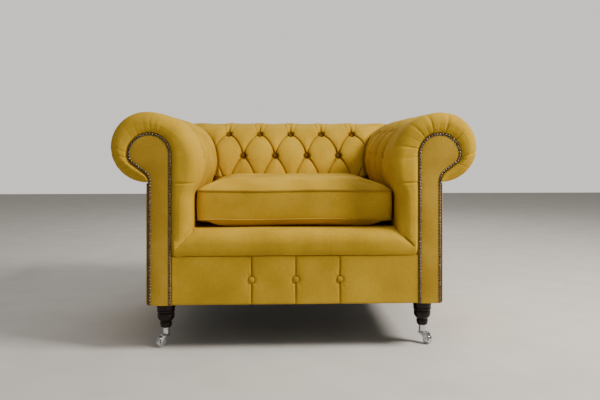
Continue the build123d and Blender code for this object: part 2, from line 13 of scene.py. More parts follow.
import bpy
import numpy as np
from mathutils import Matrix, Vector


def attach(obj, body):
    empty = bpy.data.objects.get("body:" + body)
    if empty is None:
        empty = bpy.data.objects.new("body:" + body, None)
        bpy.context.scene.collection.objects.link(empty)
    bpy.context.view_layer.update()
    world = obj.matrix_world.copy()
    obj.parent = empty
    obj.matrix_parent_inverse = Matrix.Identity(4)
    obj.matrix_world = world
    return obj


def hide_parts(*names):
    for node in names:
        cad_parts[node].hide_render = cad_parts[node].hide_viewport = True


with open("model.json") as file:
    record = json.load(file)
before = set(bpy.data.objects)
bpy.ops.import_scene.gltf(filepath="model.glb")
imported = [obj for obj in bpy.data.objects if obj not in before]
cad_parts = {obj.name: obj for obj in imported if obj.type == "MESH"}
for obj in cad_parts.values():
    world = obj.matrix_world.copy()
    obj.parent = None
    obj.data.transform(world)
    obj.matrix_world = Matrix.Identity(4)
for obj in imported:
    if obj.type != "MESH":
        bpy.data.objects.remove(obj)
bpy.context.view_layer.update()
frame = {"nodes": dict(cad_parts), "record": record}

LOG = logging.getLogger("armchair")
MM = 0.001
ROOT = "chair"
CUSHION = "seat_cushion"

# ------------------------------------------------------------------ sizes shared with the frame
FRONT_Y = -475.0  # where the arms' padding swells to
FACE_Y = -467.0  # front of the facings
BASE_Z = 140.0
SEAM_Z = 288.0  # seam between the front panel and the front border
SIDE_X = 449.0
REAR_Y = 364.0
PANEL_TOP = 506.0
CREST_X, CREST_Y = 453.0, 371.0  # lines of the arm's and the back's highest points
BACK_SWELL_R, BACK_SWELL_Z = 260.0, 456.0
BUTTON_DEPTH = 26.0
COLUMN = 127.0  # between the back's button columns
ARM_COLUMN = 130.0
FIRST_ARM_BUTTON_Y = FACE_Y + 205.0
ARM_PLAIN_X, BACK_PLAIN_Y = 314.0, 141.0  # inner faces below the swell
ARM_ROLL_R, BACK_ROLL_R = 107.0, 104.0
ARM_ROLL_Z, BACK_ROLL_Z = 616.0, 612.0
ARM_SWELL_R, ARM_SWELL_Z = 164.0, 559.0
ARM_DROP = 7.0  # how much lower an arm's swell is at the rear corner than at the front
LEVEL_OUT = 60.0  # distance over which unevenness fades towards a corner
CORNER_REACH = 58.0  # how far the padding slopes down to the rear corner's groove
HEAD_PULL, HEAD_SEAM_R = 3.2, 2.4  # depth and half width of the seam that crosses an arm's front


class Side(Enum):
    """Which side of the chair a piece is on, as the sign of its X."""

    LEFT = -1
    RIGHT = 1

    @property
    def tag(self) -> str:
        """Ending of this side's piece names."""
        return "_left" if self is Side.LEFT else "_right"


# ------------------------------------------------------------------ small helpers
def smooth(t: np.ndarray) -> np.ndarray:
    """Eased ramp from 0 to 1.

    Args:
        t: Position along the ramp; values outside 0 to 1 are held.

    Returns:
        The eased value.
    """
    t = np.clip(t, 0.0, 1.0)
    return t * t * (3.0 - 2.0 * t)


def unroll(points: Sequence[Sequence[float]]) -> tuple[np.ndarray, np.ndarray]:
    """Running length along a line of points.

    Args:
        points: The line's points in order.

    Returns:
        The points as an array, and the length up to each of them.
    """
    line = np.asarray(points, float)
    steps = np.linalg.norm(np.diff(line, axis=0), axis=1)
    return line, np.concatenate([[0.0], np.cumsum(steps)])


def along(points: Sequence[Sequence[float]], places: np.ndarray) -> np.ndarray:
    """Points at given lengths along a line."""
    line, run = unroll(points)
    return np.stack([np.interp(places, run, line[:, k]) for k in range(line.shape[1])], axis=-1)


def rounded_path(corners: Sequence[Sequence[float]], radii: Sequence[float]) -> np.ndarray:
    """An open line of straight runs joined by tangent arcs.

    Args:
        corners: Ends and corners of the path.
        radii: Arc radius at each inner corner.

    Returns:
        Points along the path.
    """
    c = [np.asarray(p, float) for p in corners]
    out = [c[0]]
    for k, r in enumerate(radii, start=1):
        into = (c[k] - c[k - 1]) / np.linalg.norm(c[k] - c[k - 1])
        away = (c[k + 1] - c[k]) / np.linalg.norm(c[k + 1] - c[k])
        turn = math.atan2(into[0] * away[1] - into[1] * away[0], float(into @ away))
        back = r * math.tan(abs(turn) / 2)
        side = math.copysign(1.0, turn)
        start = c[k] - into * back
        centre = start + np.array([-into[1], into[0]]) * r * side
        for a in np.linspace(0.0, turn, max(3, int(abs(turn) * r / 3.0))):
            v = start - centre
            out.append(centre + np.array([v[0] * math.cos(a) - v[1] * math.sin(a),
                                          v[0] * math.sin(a) + v[1] * math.cos(a)]))
    out.append(c[-1])
    return np.array(out)


def deselect() -> None:
    """Clears the selection, which holds every frame node after loading."""
    if bpy.context.object and bpy.context.object.mode != "OBJECT":
        bpy.ops.object.mode_set(mode="OBJECT")
    bpy.ops.object.select_all(action="DESELECT")


def take(obj: bpy.types.Object) -> None:
    """Makes one object the only selected and active one."""
    deselect()
    obj.select_set(True)
    bpy.context.view_layer.objects.active = obj


def settle(obj: bpy.types.Object, angle: Optional[float] = None) -> bpy.types.Object:
    """Applies an object's place and modifiers, turns its faces outwards and smooths it.

    Args:
        obj: The piece.
        angle: Edges sharper than this many degrees stay crisp; None smooths all of them.

    Returns:
        The same object.
    """
    take(obj)
    for modifier in list(obj.modifiers):
        bpy.ops.object.modifier_apply(modifier=modifier.name)
    bpy.ops.object.transform_apply(location=True, rotation=True, scale=True)
    bpy.ops.object.mode_set(mode="EDIT")
    bpy.ops.mesh.select_all(action="SELECT")
    bpy.ops.mesh.remove_doubles(threshold=1e-6)
    bpy.ops.mesh.normals_make_consistent(inside=False)
    bpy.ops.object.mode_set(mode="OBJECT")
    if angle is None:
        bpy.ops.object.shade_smooth()
    else:
        bpy.ops.object.shade_smooth_by_angle(angle=math.radians(angle))
    return obj


def ring_faces(rings: int, around: int) -> list[list[int]]:
    """Quads between closed rings of points, with one face over each end."""
    quads = [[i * around + j, i * around + (j + 1) % around,
              (i + 1) * around + (j + 1) % around, (i + 1) * around + j]
             for i in range(rings - 1) for j in range(around)]
    return [*quads, list(range(around)), [(rings - 1) * around + j for j in range(around)]]


def add_prism(verts: list, faces: list, near: Sequence, far: Sequence) -> None:
    """Adds the solid between two outlines that have the same number of points."""
    start, n = len(verts), len(near)
    verts += [*near, *far]
    faces += [[start + k for k in range(n)], [start + n + k for k in range(n)]]
    faces += [[start + k, start + (k + 1) % n, start + n + (k + 1) % n, start + n + k]
              for k in range(n)]


def mesh_piece(name: str, verts: np.ndarray, faces: Sequence[Sequence[int]]) -> bpy.types.Object:
    """A new object from points in millimetres."""
    mesh = bpy.data.meshes.new(name)
    mesh.from_pydata((np.asarray(verts) * MM).tolist(), [], [list(f) for f in faces])
    mesh.update()
    obj = bpy.data.objects.new(name, mesh)
    bpy.context.scene.collection.objects.link(obj)
    return obj


def skin(name: str, grid: np.ndarray, heart: Optional[Sequence[float]] = None,
         sunk_and_shade: Optional[np.ndarray] = None) -> bpy.types.Object:
    """A sheet of quads over a grid of points, closed to a point inside the padding.

    Args:
        name: Name of the piece.
        grid: Points in millimetres, rows by columns by three.
        heart: A point inside that the open edge is closed to.
        sunk_and_shade: Millimetres that each point is pulled in, written as the fold attribute that the
            fabric's finish turns into painted shade.

    Returns:
        The new object, with its faces outwards.
    """
    rows, cols = grid.shape[:2]
    index = np.arange(rows * cols).reshape(rows, cols)
    quads = np.stack([index[:-1, :-1], index[1:, :-1], index[1:, 1:], index[:-1, 1:]], axis=-1)
    faces = quads.reshape(-1, 4).tolist()
    verts = grid.reshape(-1, 3)
    if heart is not None:
        rim = [*index[0, :], *index[1:, -1], *index[-1, -2::-1], *index[-2:0:-1, 0]]
        verts = np.vstack([verts, np.asarray(heart, float)[None]])
        faces += [[rim[k - 1], rim[k], len(verts) - 1] for k in range(len(rim))]
    piece = mesh_piece(name, verts, faces)
    if sunk_and_shade is not None:
        # painted shade: the pull-in depth goes into the fold attribute, which darkens the cloth in creases
        # and pits
        layer = piece.data.attributes.new("fold", "FLOAT", "POINT")
        layer.data.foreach_set("value", np.resize(np.clip(sunk_and_shade / 26.0, 0, 1).ravel(), len(verts)))
    return settle(piece)


def tube(name: str, path: np.ndarray, radius: float, sides: int = 12) -> bpy.types.Object:
    """A closed loop of round cord along points in millimetres."""
    ahead = np.roll(path, -1, axis=0) - np.roll(path, 1, axis=0)
    ahead /= np.linalg.norm(ahead, axis=1)[:, None]
    up = np.array([0.0, 0.0, 1.0])
    out = np.cross(ahead, up)
    out /= np.linalg.norm(out, axis=1)[:, None]
    rise = np.cross(out, ahead)
    turn = np.linspace(0, 2 * math.pi, sides, endpoint=False)
    ring = (out[:, None] * np.cos(turn)[None, :, None] + rise[:, None] * np.sin(turn)[None, :, None])
    verts = (path[:, None] + ring * radius).reshape(-1, 3)
    n, faces = len(path), []
    for i in range(n):
        for j in range(sides):
            a, b = i * sides + j, i * sides + (j + 1) % sides
            c, d = ((i + 1) % n) * sides + (j + 1) % sides, ((i + 1) % n) * sides + j
            faces.append([a, b, c, d])
    return settle(mesh_piece(name, verts, faces))


def lathe(name: str, profile: Sequence[Sequence[float]], sides: int = 48,
          centre: Sequence[float] = (0.0, 0.0)) -> bpy.types.Object:
    """A turned solid: a disc is drawn up through the profile's rings, closed at both ends.

    Args:
        name: Name of the piece.
        profile: (radius, height) of each ring in millimetres, from the bottom up.
        sides: Number of facets round the piece.
        centre: Place of its axis.

    Returns:
        The new object.
    """
    deselect()
    (r, z), rest = profile[0], profile[1:]
    middle = (centre[0] * MM, centre[1] * MM, z * MM)
    bpy.ops.mesh.primitive_circle_add(vertices=sides, radius=r * MM, fill_type="NGON", location=middle)
    obj = bpy.context.object
    obj.name = obj.data.name = name
    bpy.ops.object.mode_set(mode="EDIT")
    bpy.ops.mesh.select_mode(type="FACE")
    bpy.ops.mesh.select_all(action="SELECT")
    bpy.ops.mesh.extrude_region_move(TRANSFORM_OT_translate={"value": (0, 0, 0)})
    for next_r, next_z in rest:
        if (next_r, next_z) != rest[0]:
            bpy.ops.mesh.extrude_region_move(TRANSFORM_OT_translate={"value": (0, 0, 0)})
        bpy.ops.transform.translate(value=(0, 0, (next_z - z) * MM))
        pivot = (centre[0] * MM, centre[1] * MM, next_z * MM)
        bpy.ops.transform.resize(value=(next_r / r, next_r / r, 1), center_override=pivot)
        r, z = next_r, next_z
    bpy.ops.object.mode_set(mode="OBJECT")
    return settle(obj, 38.0)


def copies(name: str, model: bpy.types.Object, places: Sequence[np.ndarray]) -> bpy.types.Object:
    """One piece made of copies of a small model, each moved by a 4x4 matrix in metres."""
    source = np.array([v.co[:] for v in model.data.vertices])
    polys = [list(p.vertices) for p in model.data.polygons]
    verts, faces = [], []
    for place in places:
        start = len(verts) * len(source)
        verts.append(source @ place[:3, :3].T + place[:3, 3])
        faces += [[i + start for i in poly] for poly in polys]
    bpy.data.objects.remove(model)
    return settle(mesh_piece(name, np.vstack(verts) / MM, faces), 50.0)


def facing_place(position: Sequence[float], outward: Sequence[float], spin: float = 0.0) -> np.ndarray:
    """A matrix that puts a model's +Z along a direction at a place given in millimetres."""
    turn = Vector(outward).to_track_quat("Z", "Y").to_matrix()
    c, s = math.cos(spin), math.sin(spin)
    out = np.eye(4)
    out[:3, :3] = np.array(turn) @ np.array([[c, -s, 0], [s, c, 0], [0, 0, 1]])
    out[:3, 3] = np.asarray(position, float) * MM
    return out


# ------------------------------------------------------------------ materials
def linear(hex_colour: str) -> tuple[float, float, float, float]:
    """Turns an sRGB hex colour such as "B08A2E" into linear RGBA."""
    parts = [int(hex_colour[k:k + 2], 16) / 255 for k in (0, 2, 4)]
    return (*[p / 12.92 if p <= 0.04045 else ((p + 0.055) / 1.055) ** 2.4 for p in parts], 1.0)


def add_node(material: bpy.types.Material, kind: str, links: Optional[dict] = None,
             values: Optional[dict] = None, **settings) -> bpy.types.Node:
    """Adds one node with its settings, input values and incoming links.

    Args:
        material: The material that gets the node.
        kind: Blender's node type.
        links: Input name or index to the socket that feeds it.
        values: Input name or index to its fixed value.
        **settings: Properties set on the node itself.

    Returns:
        The new node.
    """
    node = material.node_tree.nodes.new(kind)
    for key, value in settings.items():
        setattr(node, key, value)
    for key, value in (values or {}).items():
        node.inputs[key].default_value = value
    for key, socket in (links or {}).items():
        material.node_tree.links.new(socket, node.inputs[key])
    return node


def blend(material: bpy.types.Material, colour: bpy.types.NodeSocket, by: object,
          amount: Optional[bpy.types.NodeSocket] = None) -> bpy.types.NodeSocket:
    """A colour multiplied by another colour, or by a fixed one, as far as a factor says."""
    node = add_node(material, "ShaderNodeMix", data_type="RGBA", blend_type="MULTIPLY")
    links = material.node_tree.links
    links.new(colour, node.inputs[6])
    if isinstance(by, tuple):
        node.inputs[7].default_value = by
    else:
        links.new(by, node.inputs[7])
    node.inputs[0].default_value = 1.0
    if amount is not None:
        links.new(amount, node.inputs[0])
    return node.outputs[2]


def new_material(name: str) -> tuple[bpy.types.Material, bpy.types.Node, bpy.types.NodeSocket]:
    """An empty node material with its shader and the object's own coordinates."""
    material = bpy.data.materials.new(name)
    material.use_nodes = True
    shader = material.node_tree.nodes["Principled BSDF"]
    coords = add_node(material, "ShaderNodeTexCoord")
    return material, shader, coords.outputs["Object"]


def ramp(material: bpy.types.Material, factor: bpy.types.NodeSocket,
         stops: Sequence[tuple[float, str]]) -> bpy.types.NodeSocket:
    """A colour ramp between hex colours, fed by a factor."""
    node = add_node(material, "ShaderNodeValToRGB", {"Fac": factor})
    elements = node.color_ramp.elements
    while len(elements) < len(stops):
        elements.new(0.5)
    for element, (place, colour) in zip(elements, stops):
        element.position = place
        element.color = linear(colour)
    return node.outputs["Color"]


@dataclass(frozen=True)
class BrushedVelour:
    """Short-pile upholstery velour over a plain weave: soft, matt, with a lighter bloom at the edges and
    painted shade in its folds.
    """

    name: str
    dark: str
    main: str
    light: str
    thread_mm: float = 1.6  # real threads are about 0.5 mm; drawn coarser so that they show
    pile_mm: float = 9.0
    relief_mm: float = 0.05
    sheen: float = 0.05
    pile_share: float = 0.35  # how much the fine pile adds to the broad patches

    def make(self) -> bpy.types.Material:
        """Builds the material."""
        material, shader, place = new_material(self.name)
        cloud = add_node(material, "ShaderNodeTexNoise", {"Vector": place},
                         {"Scale": 1000 / 120.0, "Detail": 2.0, "Roughness": 0.5})
        pile = add_node(material, "ShaderNodeTexNoise", {"Vector": place},
                        {"Scale": 1000 / self.pile_mm, "Detail": 4.0, "Roughness": 0.65})
        mixed = add_node(material, "ShaderNodeMath", {0: pile.outputs["Fac"], 2: cloud.outputs["Fac"]},
                         {1: self.pile_share}, operation="MULTIPLY_ADD")
        half = add_node(material, "ShaderNodeMath", {0: mixed.outputs[0]}, {1: 1 / (1 + self.pile_share)},
                        operation="MULTIPLY")
        brushed = ramp(material, half.outputs[0],
                       [(0.36, self.dark), (0.5, self.main), (0.64, self.light)])
        # painted shade: the fold attribute, how far the padding is pulled in, darkens the colour in creases
        # and button pits, down to 5E4A20 at the deepest
        fold = add_node(material, "ShaderNodeAttribute", attribute_name="fold")
        shade = ramp(material, fold.outputs["Fac"],
                     [(0.0, "FFFFFF"), (0.26, "F8F5EE"), (0.5, "CDBF98"), (1.0, "5E4A20")])
        colour = blend(material, brushed, shade)
        weave = self.threads(material, place)
        speck = blend(material, colour, (0.90, 0.89, 0.85, 1.0), weave)
        material.node_tree.links.new(speck, shader.inputs["Base Color"])
        relief = add_node(material, "ShaderNodeMath", {0: weave, 1: pile.outputs["Fac"]},
                          {2: 0.5}, operation="MULTIPLY_ADD")
        bump = add_node(material, "ShaderNodeBump", {"Height": relief.outputs[0]},
                        {"Distance": self.relief_mm * MM, "Strength": 1.0})
        material.node_tree.links.new(bump.outputs["Normal"], shader.inputs["Normal"])
        shader.inputs["Roughness"].default_value = 0.88
        shader.inputs["Specular IOR Level"].default_value = 0.10
        shader.inputs["Sheen Weight"].default_value = self.sheen
        shader.inputs["Sheen Roughness"].default_value = 0.45
        shader.inputs["Sheen Tint"].default_value = linear(self.light)
        return material

    def threads(self, material: bpy.types.Material, place: bpy.types.NodeSocket) -> bpy.types.NodeSocket:
        """The weave's crossings: stretched noise, so that no two threads are alike."""
        across = []
        for stretch in ((1.0, 1.0, 0.22), (0.22, 0.22, 1.0)):
            mapped = add_node(material, "ShaderNodeMapping", {"Vector": place}, {"Scale": stretch})
            noise = add_node(material, "ShaderNodeTexNoise", {"Vector": mapped.outputs[0]},
                             {"Scale": 1000 / self.thread_mm, "Detail": 1.0})
            across.append(noise.outputs["Fac"])
        node = add_node(material, "ShaderNodeMath", {0: across[0], 1: across[1]}, operation="MAXIMUM")
        sharp = add_node(material, "ShaderNodeMapRange", {"Value": node.outputs[0]},
                         {"From Min": 0.42, "From Max": 0.72})
        return sharp.outputs[0]


@dataclass(frozen=True)
class WornMetal:
    """Bare or plated metal with fine wear in its polish."""

    name: str
    deep: str
    bright: str
    roughness: float
    grain_mm: float = 3.0
    relief_mm: float = 0.02

    def make(self) -> bpy.types.Material:
        """Builds the material."""
        material, shader, place = new_material(self.name)
        noise = add_node(material, "ShaderNodeTexNoise", {"Vector": place},
                         {"Scale": 1000 / self.grain_mm, "Detail": 5.0, "Roughness": 0.6})
        colour = ramp(material, noise.outputs["Fac"], [(0.35, self.deep), (0.65, self.bright)])
        material.node_tree.links.new(colour, shader.inputs["Base Color"])
        rough = add_node(material, "ShaderNodeMapRange", {"Value": noise.outputs["Fac"]},
                         {"To Min": self.roughness * 0.75, "To Max": self.roughness * 1.3})
        material.node_tree.links.new(rough.outputs[0], shader.inputs["Roughness"])
        bump = add_node(material, "ShaderNodeBump", {"Height": noise.outputs["Fac"]},
                        {"Distance": self.relief_mm * MM, "Strength": 0.6})
        material.node_tree.links.new(bump.outputs["Normal"], shader.inputs["Normal"])
        shader.inputs["Metallic"].default_value = 1.0
        return material


@dataclass(frozen=True)
class Timber:
    """Wood with its grain along one axis, bare or under lacquer."""

    name: str
    dark: str
    light: str
    roughness: float
    coat: float
    stretch: tuple[float, float, float]
    grain_mm: float = 3.0

    def make(self) -> bpy.types.Material:
        """Builds the material."""
        material, shader, place = new_material(self.name)
        mapped = add_node(material, "ShaderNodeMapping", {"Vector": place}, {"Scale": self.stretch})
        noise = add_node(material, "ShaderNodeTexNoise", {"Vector": mapped.outputs[0]},
                         {"Scale": 1000 / self.grain_mm, "Detail": 6.0, "Roughness": 0.6, "Distortion": 0.4})
        colour = ramp(material, noise.outputs["Fac"], [(0.3, self.dark), (0.72, self.light)])
        material.node_tree.links.new(colour, shader.inputs["Base Color"])
        bump = add_node(material, "ShaderNodeBump", {"Height": noise.outputs["Fac"]},
                        {"Distance": 0.05 * MM, "Strength": 0.5})
        material.node_tree.links.new(bump.outputs["Normal"], shader.inputs["Normal"])
        shader.inputs["Roughness"].default_value = self.roughness
        shader.inputs["Coat Weight"].default_value = self.coat
        shader.inputs["Coat Roughness"].default_value = 0.08
        shader.inputs["Specular IOR Level"].default_value = 0.18
        return material


@dataclass(frozen=True)
class WovenCloth:
    """Plain woven cloth such as webbing, lining or zip tape: a grid of threads that show."""

    name: str
    dark: str
    light: str
    thread_mm: float

    def make(self) -> bpy.types.Material:
        """Builds the material."""
        material, shader, place = new_material(self.name)
        waves = []
        for axis in ("X", "Y", "Z"):
            wave = add_node(material, "ShaderNodeTexWave", {"Vector": place},
                            {"Scale": 1000 / (self.thread_mm * 20.0), "Distortion": 0.6},
                            wave_type="BANDS", bands_direction=axis)
            waves.append(wave.outputs["Fac"])
        first = add_node(material, "ShaderNodeMath", {0: waves[0], 1: waves[1]}, operation="MAXIMUM")
        cloth = add_node(material, "ShaderNodeMath", {0: first.outputs[0], 1: waves[2]}, operation="MULTIPLY")
        colour = ramp(material, cloth.outputs[0], [(0.1, self.dark), (0.8, self.light)])
        material.node_tree.links.new(colour, shader.inputs["Base Color"])
        bump = add_node(material, "ShaderNodeBump", {"Height": cloth.outputs[0]},
                        {"Distance": 0.2 * MM, "Strength": 0.8})
        material.node_tree.links.new(bump.outputs["Normal"], shader.inputs["Normal"])
        shader.inputs["Roughness"].default_value = 0.9
        return material


class Finish(Enum):
    """Every finish on the chair, each keyed to what it covers."""

    VELOUR = BrushedVelour("mustard_brushed_velour", "B59128", "C29C2C", "CCA633")
    FACING = BrushedVelour("mustard_velour_facing", "A88428", "B4902E", "C09C3A")
    CORD = BrushedVelour("mustard_velour_cord", "A07C24", "AC882C", "BA9636", pile_mm=4.0)
    DECK = BrushedVelour("platform_lining", "937A3C", "9E8540", "A88F4A", sheen=0.1)
    NAIL = WornMetal("antiqued_brass_nails", "2C241E", "8A8076", 0.27)
    CHROME = WornMetal("polished_chrome_plate", "B8B8BA", "E4E4E6", 0.10)
    STEEL = WornMetal("drawn_spring_steel", "3C3C40", "77777C", 0.38)
    ZIP = WornMetal("satin_zip_brass", "7A5A24", "B8934C", 0.35)
    MAHOGANY = Timber("dark_lacquered_mahogany", "070100", "1E0603", 0.3, 0.14, (1.0, 1.0, 0.08))
    BEECH = Timber("planed_beech", "A57C4E", "CFA674", 0.62, 0.0, (0.08, 1.0, 1.0), 4.0)
    WEBBING = WovenCloth("jute_webbing", "4A3A22", "8C744C", 2.4)
    LINING = WovenCloth("black_woven_lining", "050505", "1C1B1A", 0.9)
    TAPE = WovenCloth("woven_zip_tape", "5E430E", "8E6A1C", 0.8)
    FOAM = WovenCloth("quilted_wadding", "CFC8B4", "E8E2D0", 4.0)

    @property
    def material(self) -> bpy.types.Material:
        """This finish's material, made the first time that it is asked for."""
        return bpy.data.materials.get(self.value.name) or self.value.make()


def dress(obj: bpy.types.Object, finish: Finish, body: str, slot: str, *stands_for: str) -> None:
    """Gives a piece its finish, the body it rides on and the frame nodes it stands for.

    Args:
        obj: The finished piece.
        finish: What it is covered in or made of.
        body: The frame body that carries it.
        slot: The record's material slot; not used.
        *stands_for: Frame nodes that it hides.
    """
    obj.data.materials.clear()
    obj.data.materials.append(finish.material)
    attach(obj, body)
    if stands_for:
        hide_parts(*stands_for)
    LOG.info("%s: %d faces, %s", obj.name, len(obj.data.polygons), finish.value.name)


# ------------------------------------------------------------------ buttoned padding
@dataclass
class Profile:
    """Section of a padded wall: across and height, by length from the crest.

    Positive lengths run down the inner face, negative ones over the roll behind it.
    """

    crest: float
    swell_r: float
    swell_z: float
    swell_turn: float  # degrees of the swell's arc
    inner: float  # plain lower face
    floor: float
    roll_r: float
    roll_z: float
    panel: float  # where the roll ends, at the outside panel
    soften: float = 9.0
    lean: float = 2.6

    def __post_init__(self) -> None:
        """Samples the section and softens its corners."""
        end = self.swell_r * math.radians(self.swell_turn)
        last = math.radians(90 + self.swell_turn)
        foot = (self.crest + self.swell_r * math.cos(last), self.swell_z + self.swell_r * math.sin(last))
        tail = math.pi + math.asin((self.crest - self.panel) / self.roll_r)
        self.start, self.swell_end = -self.roll_r * tail, end
        swell = math.pi / 2 + np.linspace(0, end, 180)[1:] / self.swell_r
        roll = math.pi / 2 + np.linspace(self.start, 0, 180) / self.roll_r
        down = [(self.inner, foot[1] - 12.0), (self.inner, self.floor)] if self.inner != foot[0] else \
            [(self.inner, self.floor)]
        arcs = ((roll, self.roll_r, self.roll_z), (swell, self.swell_r, self.swell_z))
        points = [*(point for turn, r, z in arcs
                    for point in zip(self.crest + r * np.cos(turn), z + r * np.sin(turn))), *down]
        line, run = unroll(points)
        self.end = run[-1] + self.start
        self.v = np.arange(self.start, self.end, 1.0)
        raw = along(line, self.v - self.start)
        width = int(3 * self.soften)
        kernel = np.exp(-0.5 * (np.arange(-width, width + 1) / self.soften) ** 2)
        kernel /= kernel.sum()
        padded = np.vstack([2 * raw[0] - raw[width:0:-1], raw, 2 * raw[-1] - raw[-2:-width - 2:-1]])
        self.points = np.stack([np.convolve(padded[:, k], kernel, "valid") for k in (0, 1)], axis=-1)
        slope = np.gradient(self.points, axis=0)
        slope /= np.linalg.norm(slope, axis=1)[:, None]
        self.normals = np.stack([slope[:, 1], -slope[:, 0]], axis=-1)

    def at(self, v: np.ndarray) -> tuple[np.ndarray, np.ndarray]:
        """Places and outward directions at given lengths from the crest."""
        place = np.stack([np.interp(v, self.v, self.points[:, k]) for k in (0, 1)], axis=-1)
        out = np.stack([np.interp(v, self.v, self.normals[:, k]) for k in (0, 1)], axis=-1)
        return place, out / np.linalg.norm(out, axis=-1)[..., None]

    def pull(self, v: np.ndarray) -> tuple[np.ndarray, np.ndarray]:
        """Direction that twine pulls the padding in, flatter than square to the swell, and its gain.

        Args:
            v: Lengths from the crest.

        Returns:
            The inward direction at each length, and how much longer a pull is along it.
        """
        _, out = self.at(v)
        rise = np.arctan2(out[..., 1], -out[..., 0])
        lean = np.where(v > 0, (math.pi / 2) * np.clip(rise / (math.pi / 2), 0, 1) ** self.lean, rise)
        lean = np.where((v > 0) & (rise < 0), rise, lean)
        gain = 1 / np.clip(np.cos(rise - lean), 0.75, 1)
        return np.stack([np.cos(lean), -np.sin(lean)], axis=-1), gain

    def swell_at(self, degrees: float) -> float:
        """Length from the crest to a place on the swell, in degrees up from level."""
        return self.swell_r * math.radians(90 - degrees)


@dataclass
class Tufting:
    """Buttons pulled into padding and the folds that run between them, on a flat (u, v) pattern."""

    buttons: list[tuple[float, float]] = field(default_factory=list)
    folds: list[np.ndarray] = field(default_factory=list)  # rows of u, v, depth, half width
    pleats: list[np.ndarray] = field(default_factory=list)  # the same, added on top of the folds
    pit: float = BUTTON_DEPTH
    pit_reach: float = 46.0
    pit_r: float = 13.0
    crisp: float = 2.2

    def fold(self, points: Sequence[Sequence[float]], depths: Sequence[float], reach: float) -> None:
        """Adds a fold along points, with its depth spread evenly along it."""
        line, run = unroll(points)
        depth = np.interp(run / run[-1], np.linspace(0, 1, len(depths)), depths)
        self.folds.append(np.column_stack([line, depth, np.full(len(line), reach)]))

    def diamond(self, upper: Sequence[float], lower: Sequence[float], middle: float, end: float,
                reach: float, arch: float = 0.45) -> None:
        """Adds the fold from an upper button, out sideways and then down into a lower one.

        Args:
            upper: (u, v) of the button nearer the crest.
            lower: (u, v) of the button below it.
            middle: Depth half way.
            end: Depth at both buttons.
            reach: How far the padding slopes down to the fold.
            arch: 0 for a straight fold, 1 for a quarter ellipse.
        """
        t = np.linspace(0, 1, 13)
        out = (1 - arch) * t + arch * np.sin(t * math.pi / 2)
        down = (1 - arch) * t + arch * (1 - np.cos(t * math.pi / 2))
        points = np.column_stack([upper[0] + (lower[0] - upper[0]) * out,
                                  upper[1] + (lower[1] - upper[1]) * down])
        self.fold(points, [end, middle * 1.08, middle, middle * 1.08, end], reach)

    def pleat(self, points: Sequence[Sequence[float]], depths: Sequence[float], width: float) -> None:
        """Adds a narrow pleat on top of whatever the padding does there."""
        line, run = unroll(points)
        depth = np.interp(run / run[-1], np.linspace(0, 1, len(depths)), depths)
        self.pleats.append(np.column_stack([line, depth, np.full(len(line), width)]))

    def fan(self, button: Sequence[float], length: float = 38.0) -> None:
        """Adds the short pleats that spread from a button towards the crest."""
        u, v = button
        self.fold([(u, v), (u, v - 28), (u, v - 64)], [19, 7, 1], 36.0)
        for degrees, share in ((-34, 0.8), (-12, 1.0), (11, 0.85), (33, 0.95)):
            a = math.radians(degrees)
            line = [(u + math.sin(a) * r, v - math.cos(a) * r) for r in (12, length * share + 6)]
            self.pleat(line, [4.6, 4.2, 3.0, 1.2, 0.0], 7.0)

    def wings(self, button: Sequence[float], last: float) -> None:
        """Adds the valley above a top button and the pair of pleats that run from it over the crest."""
        u, v = button
        self.fold([(u, v), (u, v - 46), (u, v - 110)], [20, 7, 1], 46.0)
        for turn in (-1, 1):
            line = [(u + turn * 4, v - 5), (u + turn * 17, v - 42), (u + turn * 24, v - 90),
                    (u + turn * 27, last)]
            self.pleat(line, [2.6, 2.6, 2.0, 1.3, 0.6, 0.1], 11.0)
        for turn, far, deep in ((-9, 58, 2.4), (1, 88, 3.0), (10, 66, 2.2)):
            self.pleat([(u + turn * 0.3, v - 12), (u + turn, v - far)], [deep, deep * 0.8, 0.0], 6.5)

    def depth(self, u: np.ndarray, v: np.ndarray) -> np.ndarray:
        """How far the surface is pulled in at each place of the pattern."""
        p = np.column_stack([u.ravel(), v.ravel()])
        deepest, extra = np.zeros(len(p)), np.zeros(len(p))
        for fold, target in [*((f, deepest) for f in self.folds), *((f, extra) for f in self.pleats)]:
            low, high = fold[:, :2].min(axis=0) - fold[0, 3], fold[:, :2].max(axis=0) + fold[0, 3]
            near = np.nonzero(((p > low) & (p < high)).all(axis=1))[0]
            if not len(near):
                continue
            best = np.zeros(len(near))
            for a, b in zip(fold[:-1], fold[1:]):
                run = b[:2] - a[:2]
                t = np.clip(((p[near] - a[:2]) @ run) / (run @ run), 0, 1)
                away = np.linalg.norm(p[near] - a[:2] - t[:, None] * run, axis=1)
                soft = np.sqrt(away**2 + self.crisp**2) - self.crisp
                left = 1 - np.clip(soft / a[3], 0, 1)
                slope = 0.72 * (1 - np.sqrt(1 - left**2)) + 0.28 * np.exp(-((away / 2.8) ** 2))
                best = np.maximum(best, (a[2] + (b[2] - a[2]) * t) * slope)
            target[near] = np.maximum(target[near], best)
        for k, (bu, bv) in enumerate(self.buttons):
            du, dv = p[:, 0] - bu, (p[:, 1] - bv) * np.interp(bv, [150, 214], [0.7, 1.0])
            away = np.hypot(du, dv)
            near = away < self.pit_reach * 1.6
            away, angle = away[near], np.arctan2(dv[near], du[near])
            left = 1 - np.clip(away / self.pit_reach, 0, 1)
            pit = self.pit * (0.46 * left**1.5 + 0.62 / (1 + np.exp((away - self.pit_r) / 1.6)))
            pleats = 0.7 * np.cos(9 * angle + 1.7 * k) * np.exp(-(((away - 19.0) / 9.0) ** 2))
            deepest[near] = np.maximum(deepest[near] + pleats, np.minimum(pit, self.pit))
        return (deepest + extra).reshape(u.shape)


